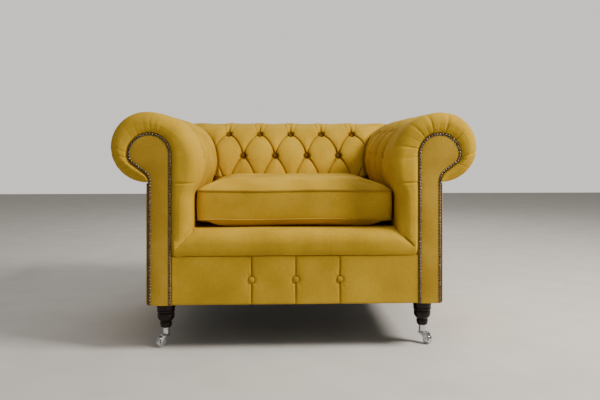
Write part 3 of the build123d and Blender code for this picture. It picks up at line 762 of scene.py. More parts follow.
def ripple(u: np.ndarray, v: np.ndarray, seed: float) -> np.ndarray:
    """Slow unevenness of hand-stuffed padding, about a millimetre either way."""
    waves = ((0.031, 0.017, 0.45), (-0.013, 0.041, 0.35), (0.057, -0.029, 0.22), (0.023, 0.071, 0.16))
    return sum(a * np.sin(i * u + j * v + seed * (k + 1)) for k, (i, j, a) in enumerate(waves))


def rib(distance: np.ndarray, reach: float) -> np.ndarray:
    """Slope of padding down to a seam: 1 at the seam, 0 where it has levelled out."""
    left = 1 - np.clip(np.abs(distance) / reach, 0, 1)
    return 1 - np.sqrt(1 - left**2)


ARM = Profile(crest=CREST_X, swell_r=ARM_SWELL_R, swell_z=ARM_SWELL_Z, swell_turn=122.0, inner=ARM_PLAIN_X,
              floor=SEAM_Z - 4.0, roll_r=ARM_ROLL_R, roll_z=ARM_ROLL_Z, panel=444.0)
BACK = Profile(crest=CREST_Y, swell_r=BACK_SWELL_R, swell_z=BACK_SWELL_Z, swell_turn=81.0, inner=BACK_PLAIN_Y,
               floor=350.0, roll_r=BACK_ROLL_R, roll_z=BACK_ROLL_Z, panel=359.0)


def back_face_y(z: np.ndarray) -> np.ndarray:
    """Where the back's inner face stands at a height."""
    rise = np.clip(z - BACK_SWELL_Z, 0, BACK_SWELL_R)
    return np.where(z < 488, BACK_PLAIN_Y, CREST_Y - np.sqrt(BACK_SWELL_R**2 - rise**2))


def arm_face_x(z: np.ndarray) -> np.ndarray:
    """Where an arm's inner face stands at a height, by the rear corner."""
    rise = np.clip(z - (ARM_SWELL_Z - ARM_DROP), -88.0, ARM_SWELL_R)
    return CREST_X - np.sqrt(ARM_SWELL_R**2 - rise**2)


def corner_ends(v: np.ndarray, roll_r: float, meet: np.ndarray, crest: float) -> tuple[np.ndarray, ...]:
    """Where one padding stops at a rear corner and runs in behind the other.

    Args:
        v: Lengths from the crest.
        roll_r: Radius of its roll.
        meet: Where the other padding's inner face stands at each length.
        crest: The other padding's highest line.

    Returns:
        The end of the cloth, where it meets the other padding, and the groove's depth there.
    """
    phi = np.clip(-v / roll_r, 0, None)
    groove = np.interp(v, [0, 60], [5.0, 13.0])
    over = crest + (BACK_ROLL_R - groove) * np.sin(phi)
    end = np.where(v < 0, over, np.minimum(meet + 24.0, crest))
    return end, np.where(v < 0, over, np.minimum(meet, crest)), groove


CREASES = {
    Side.RIGHT: ((-247, 0.8), (-214, 0.6), (-187, 2.2), (-150, 0.5), (-118, 0.7), (-88, 2.0), (-58, 0.5),
                 (-25, 2.7), (8, 0.6), (42, 2.4), (71, 0.7), (103, 1.8), (146, 0.6), (186, 2.0), (231, 1.2)),
    Side.LEFT: ((-251, 1.5), (-226, 1.7), (-192, 1.9), (-163, 0.9), (-121, 0.4), (-86, 0.5), (-52, 0.4),
                (-17, 0.7), (9, 1.0), (31, 0.8), (57, 0.9), (96, 0.4), (139, 0.5), (204, 0.5)),
}


def mitre(x: np.ndarray, z: np.ndarray) -> np.ndarray:
    """Depth of the crease where an arm's front meets the border's roll, down and outwards."""
    ahead = np.array([44.0, -50.0]) / math.hypot(44.0, 50.0)
    dx, dz = np.abs(x) - ARM_PLAIN_X, z - 366.0
    run, off = dx * ahead[0] + dz * ahead[1], dx * ahead[1] - dz * ahead[0]
    fade = np.interp(run, [-30, -6, 6, 40, 74], [0.0, 1.0, 1.0, 0.75, 0.0])
    return 10.0 * fade * (0.6 * np.exp(-((off / 3.0) ** 2)) + 0.4 * np.exp(-((off / 12.0) ** 2)))


@dataclass
class Facing:
    """Flat, fabric-covered board on the front of an arm, with its row of nails."""

    left: float = 374.0
    head_r: float = 66.0
    head_z: float = 593.0
    outer: float = 443.7
    neck: tuple[float, float] = (575.0, 528.0)
    convex: float = 34.0
    concave: float = 30.0
    nail_pitch: float = 9.0

    def outline(self, inset: float = 0.0) -> np.ndarray:
        """Edge of the board in (x, z), up the inner side, over the head and down the outer side."""
        left, outer = self.left + inset, self.outer - inset
        right, r = self.left + 2 * self.head_r - inset, self.head_r - inset
        top = self.head_z + self.head_r - inset
        slope = math.atan2(self.neck[0] - self.neck[1], self.left + 2 * self.head_r - self.outer)
        rise = inset * (1 / math.cos(slope) - math.tan(slope))
        corners = [(left, BASE_Z), (left, top), (right, top), (right, self.neck[0] + rise),
                   (outer, self.neck[1] + rise), (outer, BASE_Z)]
        return rounded_path(corners, [r - 0.05, r - 0.05, self.convex - inset, self.concave + inset])

    def build(self, side: Side) -> None:
        """Makes the facing and its nails on one side."""
        step = 4.0
        edge = self.outline(0.4)
        _, run = unroll(edge)
        edge = along(edge, np.arange(0, run[-1], step))
        rings = []
        crowned = ((0.0, 17.0), (0.0, 4.5), (0.5, 2.2), (2.0, 0.8), (5.0, 0.3), (11.0, -0.9), (18.0, -1.8))
        for inset, y in crowned:
            ring = self.outline(0.4 + inset)
            _, run = unroll(ring)
            ring = along(ring, np.linspace(0, run[-1], len(edge)))
            depth = np.full(len(ring), FACE_Y + y)
            rings.append(np.column_stack([ring[:, 0] * side.value, depth, ring[:, 1]]))
        verts = np.array(rings).reshape(-1, 3)
        faces = ring_faces(len(rings), len(edge))
        board = settle(mesh_piece("facing" + side.tag, verts, faces), 60.0)
        dress(board, Finish.FACING, ROOT, "facing_fabric", "arm_facing" + side.tag)
        self.nails(side)

    def nails(self, side: Side) -> None:
        """Makes the touching domed nails along the edge of the facing."""
        path = self.outline(5.0)
        _, run = unroll(path)
        count = int(run[-1] / self.nail_pitch)
        places = along(path, (np.arange(count) + 0.5) / count * run[-1])
        model = lathe("nail", [(4.4, -1.0), (4.45, 0.0), (4.1, 1.2), (3.0, 2.5), (1.4, 3.2), (0.4, 3.35)], 12)
        rows = [facing_place((x * side.value, FACE_Y + 0.4, z), (0, -1, 0), 0.3 * k)
                for k, (x, z) in enumerate(places)]
        nails = copies("nail_trim" + side.tag, model, rows)
        dress(nails, Finish.NAIL, ROOT, "nail_metal", "arm_nails" + side.tag)


@dataclass
class Arm:
    """One rolled, buttoned arm with the padding that wraps round its front."""

    edge_r: float = 38.0  # rounding from the front to the sides
    tuck: float = 12.0  # how far the padding is pulled in behind the facing
    row_a: float = 10.0
    row_b: float = 50.0
    columns: int = 3
    facing: Facing = field(default_factory=Facing)
    creases: tuple[tuple[float, float], ...] = ()

    def rows(self) -> tuple[list[tuple[float, float]], ...]:
        """Button places on the pattern, the lower row and the upper one."""
        first = [FIRST_ARM_BUTTON_Y + ARM_COLUMN * k for k in range(self.columns)]
        return ([(y, ARM.swell_at(self.row_a)) for y in first],
                [(y + ARM_COLUMN / 2, ARM.swell_at(self.row_b)) for y in first])

    def tufting(self) -> Tufting:
        """The arm's buttons and folds."""
        a, b = self.rows()
        pattern = Tufting(buttons=[*a, *b])
        beyond_a = (a[-1][0] + ARM_COLUMN, a[-1][1])
        for upper in b:
            for lower in [*a, beyond_a]:
                if abs(upper[0] - lower[0]) < ARM_COLUMN * 0.6:
                    pattern.diamond(upper, lower, 15.0, 22.0, 48.0)
        for y, v in a:
            pattern.fold([(y, v), (y - 3, v + 60), (y, v + 190)], [22, 16, 13], 46.0)
            pattern.pleat([(y, v + 8), (y - 3, v + 60), (y, v + 190)], [5, 5, 4], 7.0)
        for place in a:
            pattern.fan(place, 32.0)
        for place in b:
            pattern.wings(place, ARM.start + 30)
        (ay, av), (by, bv) = a[0], b[0]
        pattern.fold([(ay, av), (ay - 26, av - 40), (ay - 46, av - 100), (ay - 52, av - 190)],
                     [22, 14, 8, 3], 46.0)
        pattern.pleat([(ay - 6, av - 10), (ay - 30, av - 52), (ay - 52, av - 120), (ay - 56, av - 240)],
                      [5, 5, 4, 1], 8.0)
        pattern.fold([(ay, av), (ay - 45, av + 12), (ay - 92, av + 50)], [19, 5, 0], 36.0)
        pattern.pleat([(by - 112, bv - 74), (by - 148, bv - 60), (by - 176, bv - 24)], [0, 3.4, 0], 7.0)
        pattern.pleat([(by - 116, bv + 18), (by - 142, bv + 24), (by - 160, bv + 40)], [0, 2.4, 0], 7.0)
        return pattern

    def gathers(self, v: np.ndarray, distance: np.ndarray) -> np.ndarray:
        """Creases that radiate from the scroll's head, by distance from the nails."""
        total = np.zeros(np.broadcast(v, distance).shape)
        for start, depth in self.creases:
            width = 2.6 + 0.07 * distance
            fade = np.exp(-((distance / (30.0 + 20.0 * depth)) ** 2))
            total += 1.3 * depth * np.exp(-(((v - start - 0.12 * distance) / width) ** 2)) * fade
        return total

    def rim(self, v: np.ndarray) -> np.ndarray:
        """Place on the facing's edge, in (x, z), that each length of the section is pulled to."""
        head = self.facing.head_z - BASE_Z
        top = head + self.facing.head_r * math.pi / 2
        right = head + self.facing.head_r * math.pi
        low = 472.0 - BASE_Z
        stops_v = [ARM.start, -252.0, -168.0, 0.0, 223.4, 349.3, ARM.end]
        stops_s = [right + 105.5, right + 32.0, right, top, head, low, low - (ARM.end - 349.3)]
        return along(self.facing.outline(), np.interp(v, stops_v, stops_s))

    def surface(self, seed: float) -> tuple[np.ndarray, np.ndarray]:
        """The right arm's outer surface as a grid of points, and how far each is pulled in."""
        v = np.linspace(ARM.start, ARM.end, 350)
        place, out = ARM.at(v)
        rim = self.rim(v)
        ahead = rim - place
        width = np.linalg.norm(ahead, axis=1)
        ahead /= width[:, None]
        edge = np.minimum(self.edge_r, width * 0.9)
        low_tuck = 9.0 * np.exp(-np.clip(place[:, 1] - SEAM_Z, 0, None) / 9.0) * (v > 300)
        seam = HEAD_PULL * np.exp(-(((place[:, 1] - PANEL_TOP) / HEAD_SEAM_R) ** 2)) * (v > 240)
        columns = []
        for t in np.linspace(1, 0, 17) ** 1.2:  # flat front, from the nails outwards
            r = edge + (width - edge) * t
            flat = place + ahead * r[:, None]
            back = self.tuck * np.exp(-(width - r) / 7.0) + low_tuck
            back = back + self.gathers(v, width - r) + (seam + mitre(flat[:, 0], flat[:, 1]))
            columns.append(np.column_stack([flat[:, 0], FRONT_Y + back, flat[:, 1]]))
        for turn in np.linspace(math.pi / 2, 0, 25)[1:]:  # rounded edge
            r = edge * (1 - math.cos(turn))
            distance = width - edge + edge * (math.pi / 2 - turn)
            pull = self.gathers(v, distance)
            flat = place + ahead * r[:, None] - out * (pull * math.cos(turn))[:, None]
            y = FRONT_Y + edge * (1 - math.sin(turn)) + pull * math.sin(turn)
            y = y + (low_tuck + seam + mitre(flat[:, 0], flat[:, 1])) * math.sin(turn)
            columns.append(np.column_stack([flat[:, 0], y, flat[:, 1]]))
        start = FRONT_Y + edge
        end, meet, groove = corner_ends(v, ARM_ROLL_R, back_face_y(place[:, 1]), CREST_Y)
        steps = np.linspace(0, 1, 312)[1:]
        y = start[:, None] + (end - start)[:, None] * steps[None, :]
        vv = np.broadcast_to(v[:, None], y.shape)
        depth = self.tufting().depth(y, vv)
        to_corner = np.clip(meet[:, None] - y, 0, None)
        depth = np.maximum(depth, groove[:, None] * rib(to_corner, CORNER_REACH))
        fade = smooth(to_corner / LEVEL_OUT) * smooth((y - start[:, None]) / LEVEL_OUT)
        depth += ripple(y, vv, seed) * fade
        depth += self.gathers(vv, y - start[:, None] + (width - edge + edge * math.pi / 2)[:, None])
        rearward = smooth((y - 60.0) / 300.0)  # 0 over the arm's front half, 1 at the corner
        lower = ARM_DROP * rearward
        inward, gain = ARM.pull(v)
        x = place[:, :1] + inward[:, :1] * depth * gain[:, None]
        z = place[:, 1:] + inward[:, 1:] * depth * gain[:, None]
        share = np.clip((z - 472.0) / 251.0, 0, 1)
        roll_scale = 1 - (1 - BACK_ROLL_R / ARM_ROLL_R) * rearward * (vv < 0)
        roll_drop = lower * (ARM_ROLL_Z - BACK_ROLL_Z) / ARM_DROP
        x = np.where(vv < 0, CREST_X + (x - CREST_X) * roll_scale, x)
        z = np.where(vv < 0, ARM_ROLL_Z + (z - ARM_ROLL_Z) * roll_scale - roll_drop, z - lower * share)
        body = np.stack([x, y, z], axis=-1)
        front = np.stack(columns, axis=1)
        sunk_and_shade = np.concatenate([np.zeros(front.shape[:2]), depth], axis=1)
        return np.concatenate([front, body], axis=1), sunk_and_shade

    def build(self, side: Side) -> None:
        """Makes the padding, buttons and facing of one side."""
        grid, sunk_and_shade = self.surface(1.0 if side is Side.RIGHT else 2.3)
        grid[..., 0] *= side.value
        padding = skin("arm_cover" + side.tag, grid, (420.0 * side.value, -60.0, 560.0), sunk_and_shade)
        dress(padding, Finish.VELOUR, ROOT, "upholstery_fabric", "arm_padding" + side.tag)
        places = []
        for y, v in [place for row in self.rows() for place in row]:
            (x, z), (ix, iz), deep = button_seat(ARM, v)
            spot = np.array([x + ix * deep, y, z + iz * deep])
            places.append((spot * (side.value, 1, 1), (-ix * side.value, 0.0, -iz)))
        make_buttons("arm_button" + side.tag, places, "arm_buttons" + side.tag)
        self.facing.build(side)


def button_seat(profile: Profile, v: float) -> tuple[np.ndarray, np.ndarray, float]:
    """Where a button's twine leaves the surface, which way it pulls and how deep it sits."""
    place, _ = profile.at(np.array([v]))
    inward, gain = profile.pull(np.array([v]))
    return place[0], inward[0], (BUTTON_DEPTH - 1.0) * float(gain[0])


def make_buttons(name: str, places: Sequence[tuple], node: str, radius: float = 11.0,
                 sunk_and_shade: float = 0.72) -> None:
    """Covered buttons: a domed cap drawn down over a shell, with its cloth gathered at the edge.

    Args:
        name: Name of the piece.
        places: (place, outward direction) of each button.
        node: The frame node they stand for.
        radius: A button's radius.
        sunk_and_shade: Painted shade on the buttons, from 0 to 1, written as their fold attribute so that the
            fabric's finish darkens them as if deep in their pits.
    """
    rings = [(0.72, -3.0), (0.95, -0.5), (1.0, 1.4), (0.97, 3.0), (0.86, 4.6), (0.62, 6.0), (0.34, 6.9),
             (0.06, 7.2)]
    model = lathe("button", [(radius * r, z) for r, z in rings], 20)
    matrices = [facing_place(place, out, 0.5 * k) for k, (place, out) in enumerate(places)]
    buttons = copies(name, model, matrices)
    # painted shade: every button gets the same fold value, which darkens its cloth
    if sunk_and_shade:
        layer = buttons.data.attributes.new("fold", "FLOAT", "POINT")
        layer.data.foreach_set("value", np.full(len(buttons.data.vertices), sunk_and_shade))
    dress(buttons, Finish.CORD, ROOT, "button_fabric", node)


@dataclass
class Back:
    """The rolled, buttoned back between the arms."""

    row_a: float = 28.5
    row_b: float = 57.0
    scallop: float = 3.5  # how much the crest stands up over each button column

    def rows(self) -> tuple[list[tuple[float, float]], ...]:
        """Button places on the pattern, the lower row and the upper one."""
        half = COLUMN / 2
        return ([(half * k, BACK.swell_at(self.row_a)) for k in (-3, -1, 1, 3)],
                [(COLUMN * k, BACK.swell_at(self.row_b)) for k in range(-2, 3)])

    def tufting(self) -> Tufting:
        """The back's buttons and folds."""
        a, b = self.rows()
        pattern = Tufting(buttons=[*a, *b])
        wide_a = [(-COLUMN * 2.5, a[0][1]), *a, (COLUMN * 2.5, a[0][1])]
        hidden = [(COLUMN * k, a[0][1] + 148.0) for k in range(-2, 3)]
        for upper in b:
            for lower in wide_a:
                if abs(upper[0] - lower[0]) < COLUMN * 0.6:
                    pattern.diamond(upper, lower, 12.0, 20.0, 54.0)
        for upper in wide_a:
            for lower in hidden:
                if abs(upper[0] - lower[0]) < COLUMN * 0.6:
                    pattern.diamond(upper, lower, 11.0, 20.0, 54.0)
        for place in a:
            pattern.fan(place)
        for place in b:
            pattern.wings(place, BACK.start + 30)
        return pattern

    def surface(self) -> tuple[np.ndarray, np.ndarray]:
        """The back's outer surface as a grid of points, and how far each is pulled in."""
        v = np.linspace(BACK.start, BACK.end, 320)
        place, _ = BACK.at(v)
        end, meet, groove = corner_ends(v, BACK_ROLL_R, arm_face_x(place[:, 1]), CREST_X)
        steps = np.linspace(-1, 1, 440)
        x = end[:, None] * steps[None, :]
        vv = np.broadcast_to(v[:, None], x.shape)
        depth = self.tufting().depth(x, vv)
        to_corner = np.clip(meet[:, None] - np.abs(x), 0, None)
        fade = smooth(to_corner / LEVEL_OUT)
        depth = np.maximum(depth, groove[:, None] * rib(to_corner, CORNER_REACH))
        depth += ripple(x, vv, 4.1) * fade
        swell = 0.5 + 0.5 * np.cos(2 * math.pi * x / COLUMN)
        depth -= self.scallop * swell * np.exp(-(((vv + 5.0) / 60.0) ** 2)) * fade
        inward, gain = BACK.pull(v)
        y = place[:, :1] + inward[:, :1] * depth * gain[:, None]
        z = place[:, 1:] + inward[:, 1:] * depth * gain[:, None]
        return np.stack([x, y, z], axis=-1), depth

    def build(self) -> None:
        """Makes the padding and the buttons."""
        grid, sunk_and_shade = self.surface()
        padding = skin("back_cover", grid, (0.0, 330.0, 560.0), sunk_and_shade)
        dress(padding, Finish.VELOUR, ROOT, "upholstery_fabric", "back_padding")
        places = []
        for x, v in [place for row in self.rows() for place in row]:
            (y, z), (iy, iz), deep = button_seat(BACK, v)
            places.append((np.array([x, y + iy * deep, z + iz * deep]), (0.0, -iy, -iz)))
        make_buttons("back_button", places, "back_buttons")


# ------------------------------------------------------------------ seat
def pad_edge(t: np.ndarray, low: float, high: float, r: float) -> np.ndarray:
    """How far a pad's face falls back near its two edges, rounded with a radius."""
    near = np.minimum(t - low, high - t)
    left = np.clip(1 - near / r, 0, 1)
    return r * (1 - np.sqrt(1 - left**2))


@dataclass
class SeatFront:
    """Front border roll, buttoned front panel and the deck under the cushion."""

    half: float = 373.6
    roll_half: float = 366.0
    roll_r: float = 42.0
    top: float = 365.0
    button_pitch: float = 134.0
    button_z: float = 214.0

    def border(self) -> None:
        """Makes the soft roll along the front edge of the seat."""
        run = np.linspace(0, self.top - self.roll_r - SEAM_Z, 14)[:-1]
        lower = [(FRONT_Y, SEAM_Z + z) for z in run]
        turn = np.linspace(0, math.pi / 2, 22)
        curve = [(FRONT_Y + self.roll_r * (1 - math.cos(a)), self.top - self.roll_r * (1 - math.sin(a)))
                 for a in turn]
        flat = [(y, self.top) for y in np.linspace(FRONT_Y + self.roll_r, -357.0, 14)[1:]]
        section = np.array([*lower, *curve, *flat])
        x = np.linspace(-self.roll_half, self.roll_half, 320)
        xx, _ = np.meshgrid(x, section[:, 0], indexing="ij")
        y = np.broadcast_to(section[:, 0], xx.shape).copy()
        z = np.broadcast_to(section[:, 1], xx.shape).copy()
        y += 9.0 * np.exp(-np.clip(z - SEAM_Z, 0, None) / 9.0)
        ends = np.abs(xx) > self.roll_half - 40
        sag = ripple(xx, z * 0.6, 0.7) * 0.7 * ~ends
        y += sag * (y < FRONT_Y + 20)
        z -= 0.6 * (1 + np.sin(xx / 61.0)) * (z > 350)
        crease = mitre(xx, z) * (y < -425)
        y, z = y + crease, z - 0.6 * crease
        roll = skin("front_border_roll", np.stack([xx, y, z], axis=-1), (0.0, -420.0, 320.0))
        dress(roll, Finish.VELOUR, ROOT, "upholstery_fabric", "front_border")

    def panel(self) -> None:
        """Makes the front panel with its pleats and buttons."""
        x = np.linspace(-self.half, self.half, 480)
        z = np.linspace(BASE_Z, SEAM_Z - 0.5, 64)
        xx, zz = np.meshgrid(x, z, indexing="ij")
        places = [(self.button_pitch * k, self.button_z) for k in (-1, 0, 1)]
        pattern = Tufting(buttons=list(places), pit=6.0, pit_reach=26.0, crisp=1.2)
        for bx, bz in places:
            for far in (SEAM_Z, BASE_Z):
                pattern.fold([(bx, bz), (bx, far)], [4.6, 2.4, 2.0], 24.0)
                pattern.pleat([(bx, bz), (bx + 0.8, (bz + far) / 2), (bx, far)], [3.0, 3.6, 3.2], 4.5)
        fall = pad_edge(xx, -self.half - 1, self.half + 1, 5.0)
        fall = np.maximum(fall, pad_edge(zz, BASE_Z - 0.5, SEAM_Z + 0.5, 5.0))
        sunk_and_shade = pattern.depth(xx, zz)
        y = -466.0 + fall + sunk_and_shade + 0.4 * ripple(xx, zz, 1.9)
        # painted shade: the pleat and pit depth, doubled, darkens the panel's cloth along its pleats
        front = skin("front_panel_cover", np.stack([xx, y, zz], axis=-1), (0.0, -441.0, 214.0), sunk_and_shade * 2)
        dress(front, Finish.VELOUR, ROOT, "upholstery_fabric", "front_panel")
        seats = [((bx, -460.0, bz), (0, -1, 0)) for bx, bz in places]
        make_buttons("front_button", seats, "front_buttons", 10.0, 0.0)

    def deck(self) -> None:
        """Makes the platform under the cushion, with its sewn channels."""
        x, y = np.linspace(-350, 350, 120), np.linspace(-356, 191, 96)
        xx, yy = np.meshgrid(x, y, indexing="ij")
        pattern = Tufting(crisp=1.0)
        for place in (-175.0, 0.0, 175.0):
            pattern.fold([(place, -356), (place, 191)], [3.0, 3.0], 60.0)
        pattern.fold([(-350, -250), (350, -250)], [3.0, 3.0], 40.0)
        z = 364.4 - pattern.depth(xx, yy) - pad_edge(xx, -351, 351, 8.0)
        deck = skin("seat_platform", np.stack([xx, yy, z], axis=-1), (0.0, -80.0, 320.0))
        dress(deck, Finish.DECK, ROOT, "deck_fabric", "seat_deck")

    def build(self) -> None:
        """Makes every piece of the seat's front and floor."""
        self.border()
        self.panel()
        self.deck()


@dataclass
class OutsidePanels:
    """Fabric-covered boards on the outside of the arms and the back, and the cloth underneath."""

    swell: float = 1.6

    def board(self, name: str, width: tuple[float, float], body_place: Callable, heart: Sequence[float],
              node: str) -> None:
        """Makes one stretched panel.

        Args:
            name: Name of the piece.
            width: Its limits across.
            body_place: Turns (across, height, outwards) into points.
            heart: A point inside the board.
            node: The frame node it stands for.
        """
        u, z = np.linspace(*width, 150), np.linspace(BASE_Z, PANEL_TOP, 76)
        uu, zz = np.meshgrid(u, z, indexing="ij")
        out = -pad_edge(uu, width[0] - 0.2, width[1] + 0.2, 4.0)
        out = out - pad_edge(zz, BASE_Z - 0.2, PANEL_TOP + 6, 4.0)
        middle = np.sin(np.clip((uu - width[0]) / (width[1] - width[0]), 0, 1) * math.pi)
        out += self.swell * middle * np.sin((zz - BASE_Z) / (PANEL_TOP - BASE_Z) * math.pi)
        out += 0.25 * np.sin(uu / 17.0) * np.exp(-(PANEL_TOP - zz) / 60.0)
        panel = skin(name, body_place(uu, zz, out), heart)
        dress(panel, Finish.VELOUR, ROOT, "upholstery_fabric", node)

    def build(self) -> None:
        """Makes the three panels and the dust cover."""
        for side in Side:
            s = side.value
            self.board("outside_arm_cover" + side.tag, (FACE_Y, REAR_Y),
                       lambda u, z, out, s=s: np.stack([s * (SIDE_X + out), u, z], axis=-1),
                       (s * (SIDE_X - 4.6), -50.0, 320.0), "outside_arm" + side.tag)
        self.board("outside_back_cover", (-443.5, 443.5),
                   lambda u, z, out: np.stack([u, REAR_Y + out, z], axis=-1),
                   (0.0, REAR_Y - 4.6, 320.0), "outside_back")
        self.dust_cover()

    def dust_cover(self) -> None:
        """Makes the lining cloth under the seat, cut away at the leg blocks."""
        x, y = np.linspace(-443, 443, 61), np.linspace(-438, 358, 55)
        xx, yy = np.meshgrid(x, y, indexing="ij")
        sag = np.cos(xx / 443 * math.pi / 2) * np.cos((yy + 40) / 398 * math.pi / 2)
        z = 143.6 - 3.0 * np.clip(sag, 0, 1)
        index = np.arange(xx.size).reshape(xx.shape)
        keep = ~((np.abs(xx) > 376) & ((yy < -329) | (yy > 274)))
        whole = keep[:-1, :-1] & keep[1:, :-1] & keep[1:, 1:] & keep[:-1, 1:]
        quads = np.stack([index[:-1, :-1], index[1:, :-1], index[1:, 1:], index[:-1, 1:]], axis=-1)[whole]
        cloth = mesh_piece("dust_cover_cloth", np.stack([xx, yy, z], axis=-1).reshape(-1, 3), quads.tolist())
        take(cloth)
        bpy.ops.object.mode_set(mode="EDIT")
        bpy.ops.mesh.select_all(action="SELECT")
        bpy.ops.mesh.delete_loose()
        bpy.ops.object.mode_set(mode="OBJECT")
        wall = cloth.modifiers.new("cloth", "SOLIDIFY")
        wall.thickness, wall.offset = 0.8 * MM, 0.0
        settle(cloth)
        dress(cloth, Finish.LINING, ROOT, "lining_cloth", "dust_cover")


@dataclass
class Cushion:
    """Loose box cushion with a crowned top, boxed sides and a corded seam top and bottom."""

    half_x: float = 306.3
    half_y: float = 266.0
    middle_y: float = -133.0
    corner: float = 13.0
    top_seam: float = 478.5
    low_seam: float = 388.5
    floor: float = 365.6
    crown: float = 30.5
    cord_r: float = 3.8
    most_fill: float = 7.0  # how far the filling may push the cover
    most_x: float = 310.5  # clear of the arms
    most_z: float = 515.0
    around: int = 236

    def seam(self, z: float, inset: float = 0.0) -> np.ndarray:
        """One seam as a closed loop whose sides pull in a little between the corners."""
        hx, hy, r = self.half_x - inset, self.half_y - inset, self.corner
        corners = [(0, -hy), (hx, -hy), (hx, hy), (-hx, hy), (-hx, -hy), (0, -hy)]
        line = rounded_path(corners, [r] * 4)
        _, run = unroll(line)
        loop = along(line, np.linspace(0, run[-1], self.around, endpoint=False))
        slack_x = 3.5 * np.cos(loop[:, 1] / hy * math.pi / 2) * (np.abs(loop[:, 0]) > hx - 2)
        slack_y = 3.5 * np.cos(loop[:, 0] / hx * math.pi / 2) * (np.abs(loop[:, 1]) > hy - 2)
        loop[:, 0] -= np.sign(loop[:, 0]) * slack_x
        loop[:, 1] -= np.sign(loop[:, 1]) * slack_y
        step = np.arange(self.around)
        wave = 0.8 * np.sin(step * 0.19) + 0.5 * np.sin(step * 0.071 + 1.0)
        return np.column_stack([loop[:, 0], loop[:, 1] + self.middle_y, np.full(self.around, z) + wave])

    def shell(self) -> tuple[np.ndarray, list, np.ndarray]:
        """Points, faces and the seam points of the cushion's cover before it is filled."""
        top, low = self.seam(self.top_seam), self.seam(self.low_seam)
        centre = np.array([0.0, self.middle_y, 0.0])
        gap = np.hypot(self.half_x - np.abs(low[:, 0]), self.half_y - np.abs(low[:, 1] - self.middle_y))
        corner = smooth(1 - gap / 62.0)
        rings, pinned = [], []
        scales = 1 - (1 - np.linspace(0, 1, 28)[:-1]) ** 1.35 * 0.98
        for k in scales:
            ring = centre + (low - centre) * (k, k, 1)
            ring[:, 2] -= (self.low_seam - self.floor) * (1 - k**50) * (1 - 0.85 * corner * k**7)
            rings.append(ring)
        pinned.append(len(rings))
        for t in np.linspace(0, 1, 13)[:-1]:
            ring = low + (top - low) * t
            out = (ring - centre) * (1, 1, 0)
            out /= np.linalg.norm(out, axis=1)[:, None]
            rings.append(ring + out * 2.5 * math.sin(t * math.pi))
        pinned.append(len(rings))
        for k in np.concatenate([[1.0], scales[::-1]]):
            ring = centre + (top - centre) * (k, k, 1)
            ring[:, 2] += self.crown * (0.9 * (1 - k**15) + 0.1 * (1 - k**2.5))
            rings.append(ring)
        seams = np.concatenate([np.arange(self.around) + row * self.around for row in pinned])
        return np.array(rings).reshape(-1, 3), ring_faces(len(rings), self.around), seams

    def inflate(self, obj: bpy.types.Object, seams: np.ndarray) -> None:
        """Fills the cover by cloth simulation, with its seams held."""
        group = obj.vertex_groups.new(name="seams")
        group.add(seams.tolist(), 1.0, "REPLACE")
        rest = np.array([v.co[:] for v in obj.data.vertices])
        cloth = obj.modifiers.new("fill", "CLOTH")
        cloth.settings.quality = 6
        cloth.settings.mass = 0.3
        cloth.settings.tension_stiffness = cloth.settings.compression_stiffness = 24.0
        cloth.settings.shear_stiffness = 8.0
        cloth.settings.bending_stiffness = 1.2
        cloth.settings.use_pressure = True
        cloth.settings.uniform_pressure_force = 4.0
        cloth.settings.effector_weights.gravity = 0.0
        cloth.settings.vertex_group_mass = "seams"
        cloth.collision_settings.use_collision = False
        cloth.collision_settings.use_self_collision = False
        for step in range(1, 21):
            bpy.context.scene.frame_set(step)
        blown = obj.evaluated_get(bpy.context.evaluated_depsgraph_get()).data
        moved = np.array([v.co[:] for v in blown.vertices]) - rest
        far = np.linalg.norm(moved, axis=1)
        LOG.info("cushion fill moved at most %.1f mm", far.max() / MM)
        limit = self.most_fill * MM
        moved *= (limit * np.tanh(far / limit) / np.maximum(far, 1e-9))[:, None]
        obj.modifiers.remove(cloth)
        obj.data.vertices.foreach_set("co", (rest + moved).ravel())
        bpy.context.scene.frame_set(1)

    def build(self) -> None:
        """Makes the cover and its cords."""
        verts, faces, seams = self.shell()
        cover = mesh_piece("cushion_cover", verts, faces)
        self.inflate(cover, seams)
        points = np.array([v.co[:] for v in cover.data.vertices]) / MM
        points[:, 2] = np.clip(points[:, 2], self.floor, self.most_z)
        points[:, 0] = np.clip(points[:, 0], -self.most_x, self.most_x)
        rear = self.middle_y + self.half_y - 0.5
        at_zip = (np.abs(points[:, 0]) < 262) & (np.abs(points[:, 2] - 422.0) < 22) & (points[:, 1] > 100)
        points[:, 1] = np.where(at_zip, np.minimum(points[:, 1], rear), np.minimum(points[:, 1], 138.0))
        points[:, 2] += 0.35 * ripple(points[:, 0] * 1.6, points[:, 1] * 1.6, 3.3) * (points[:, 2] > 482)
        cover.data.vertices.foreach_set("co", (points * MM).ravel())
        settle(cover)
        dress(cover, Finish.VELOUR, CUSHION, "cushion_fabric", "cushion_core", "cushion_top",
              "cushion_bottom", "cushion_boxing")
        clear_of_arms = (0.995, 1, 1)
        cords = [tube("cord", self.seam(z, 0.7) * clear_of_arms, self.cord_r)
                 for z in (self.low_seam, self.top_seam)]
        take(cords[0])
        cords[1].select_set(True)
        bpy.ops.object.join()
        piping = bpy.context.object
        piping.name = piping.data.name = "cushion_cord"
        dress(piping, Finish.CORD, CUSHION, "piping_fabric", "cushion_piping")


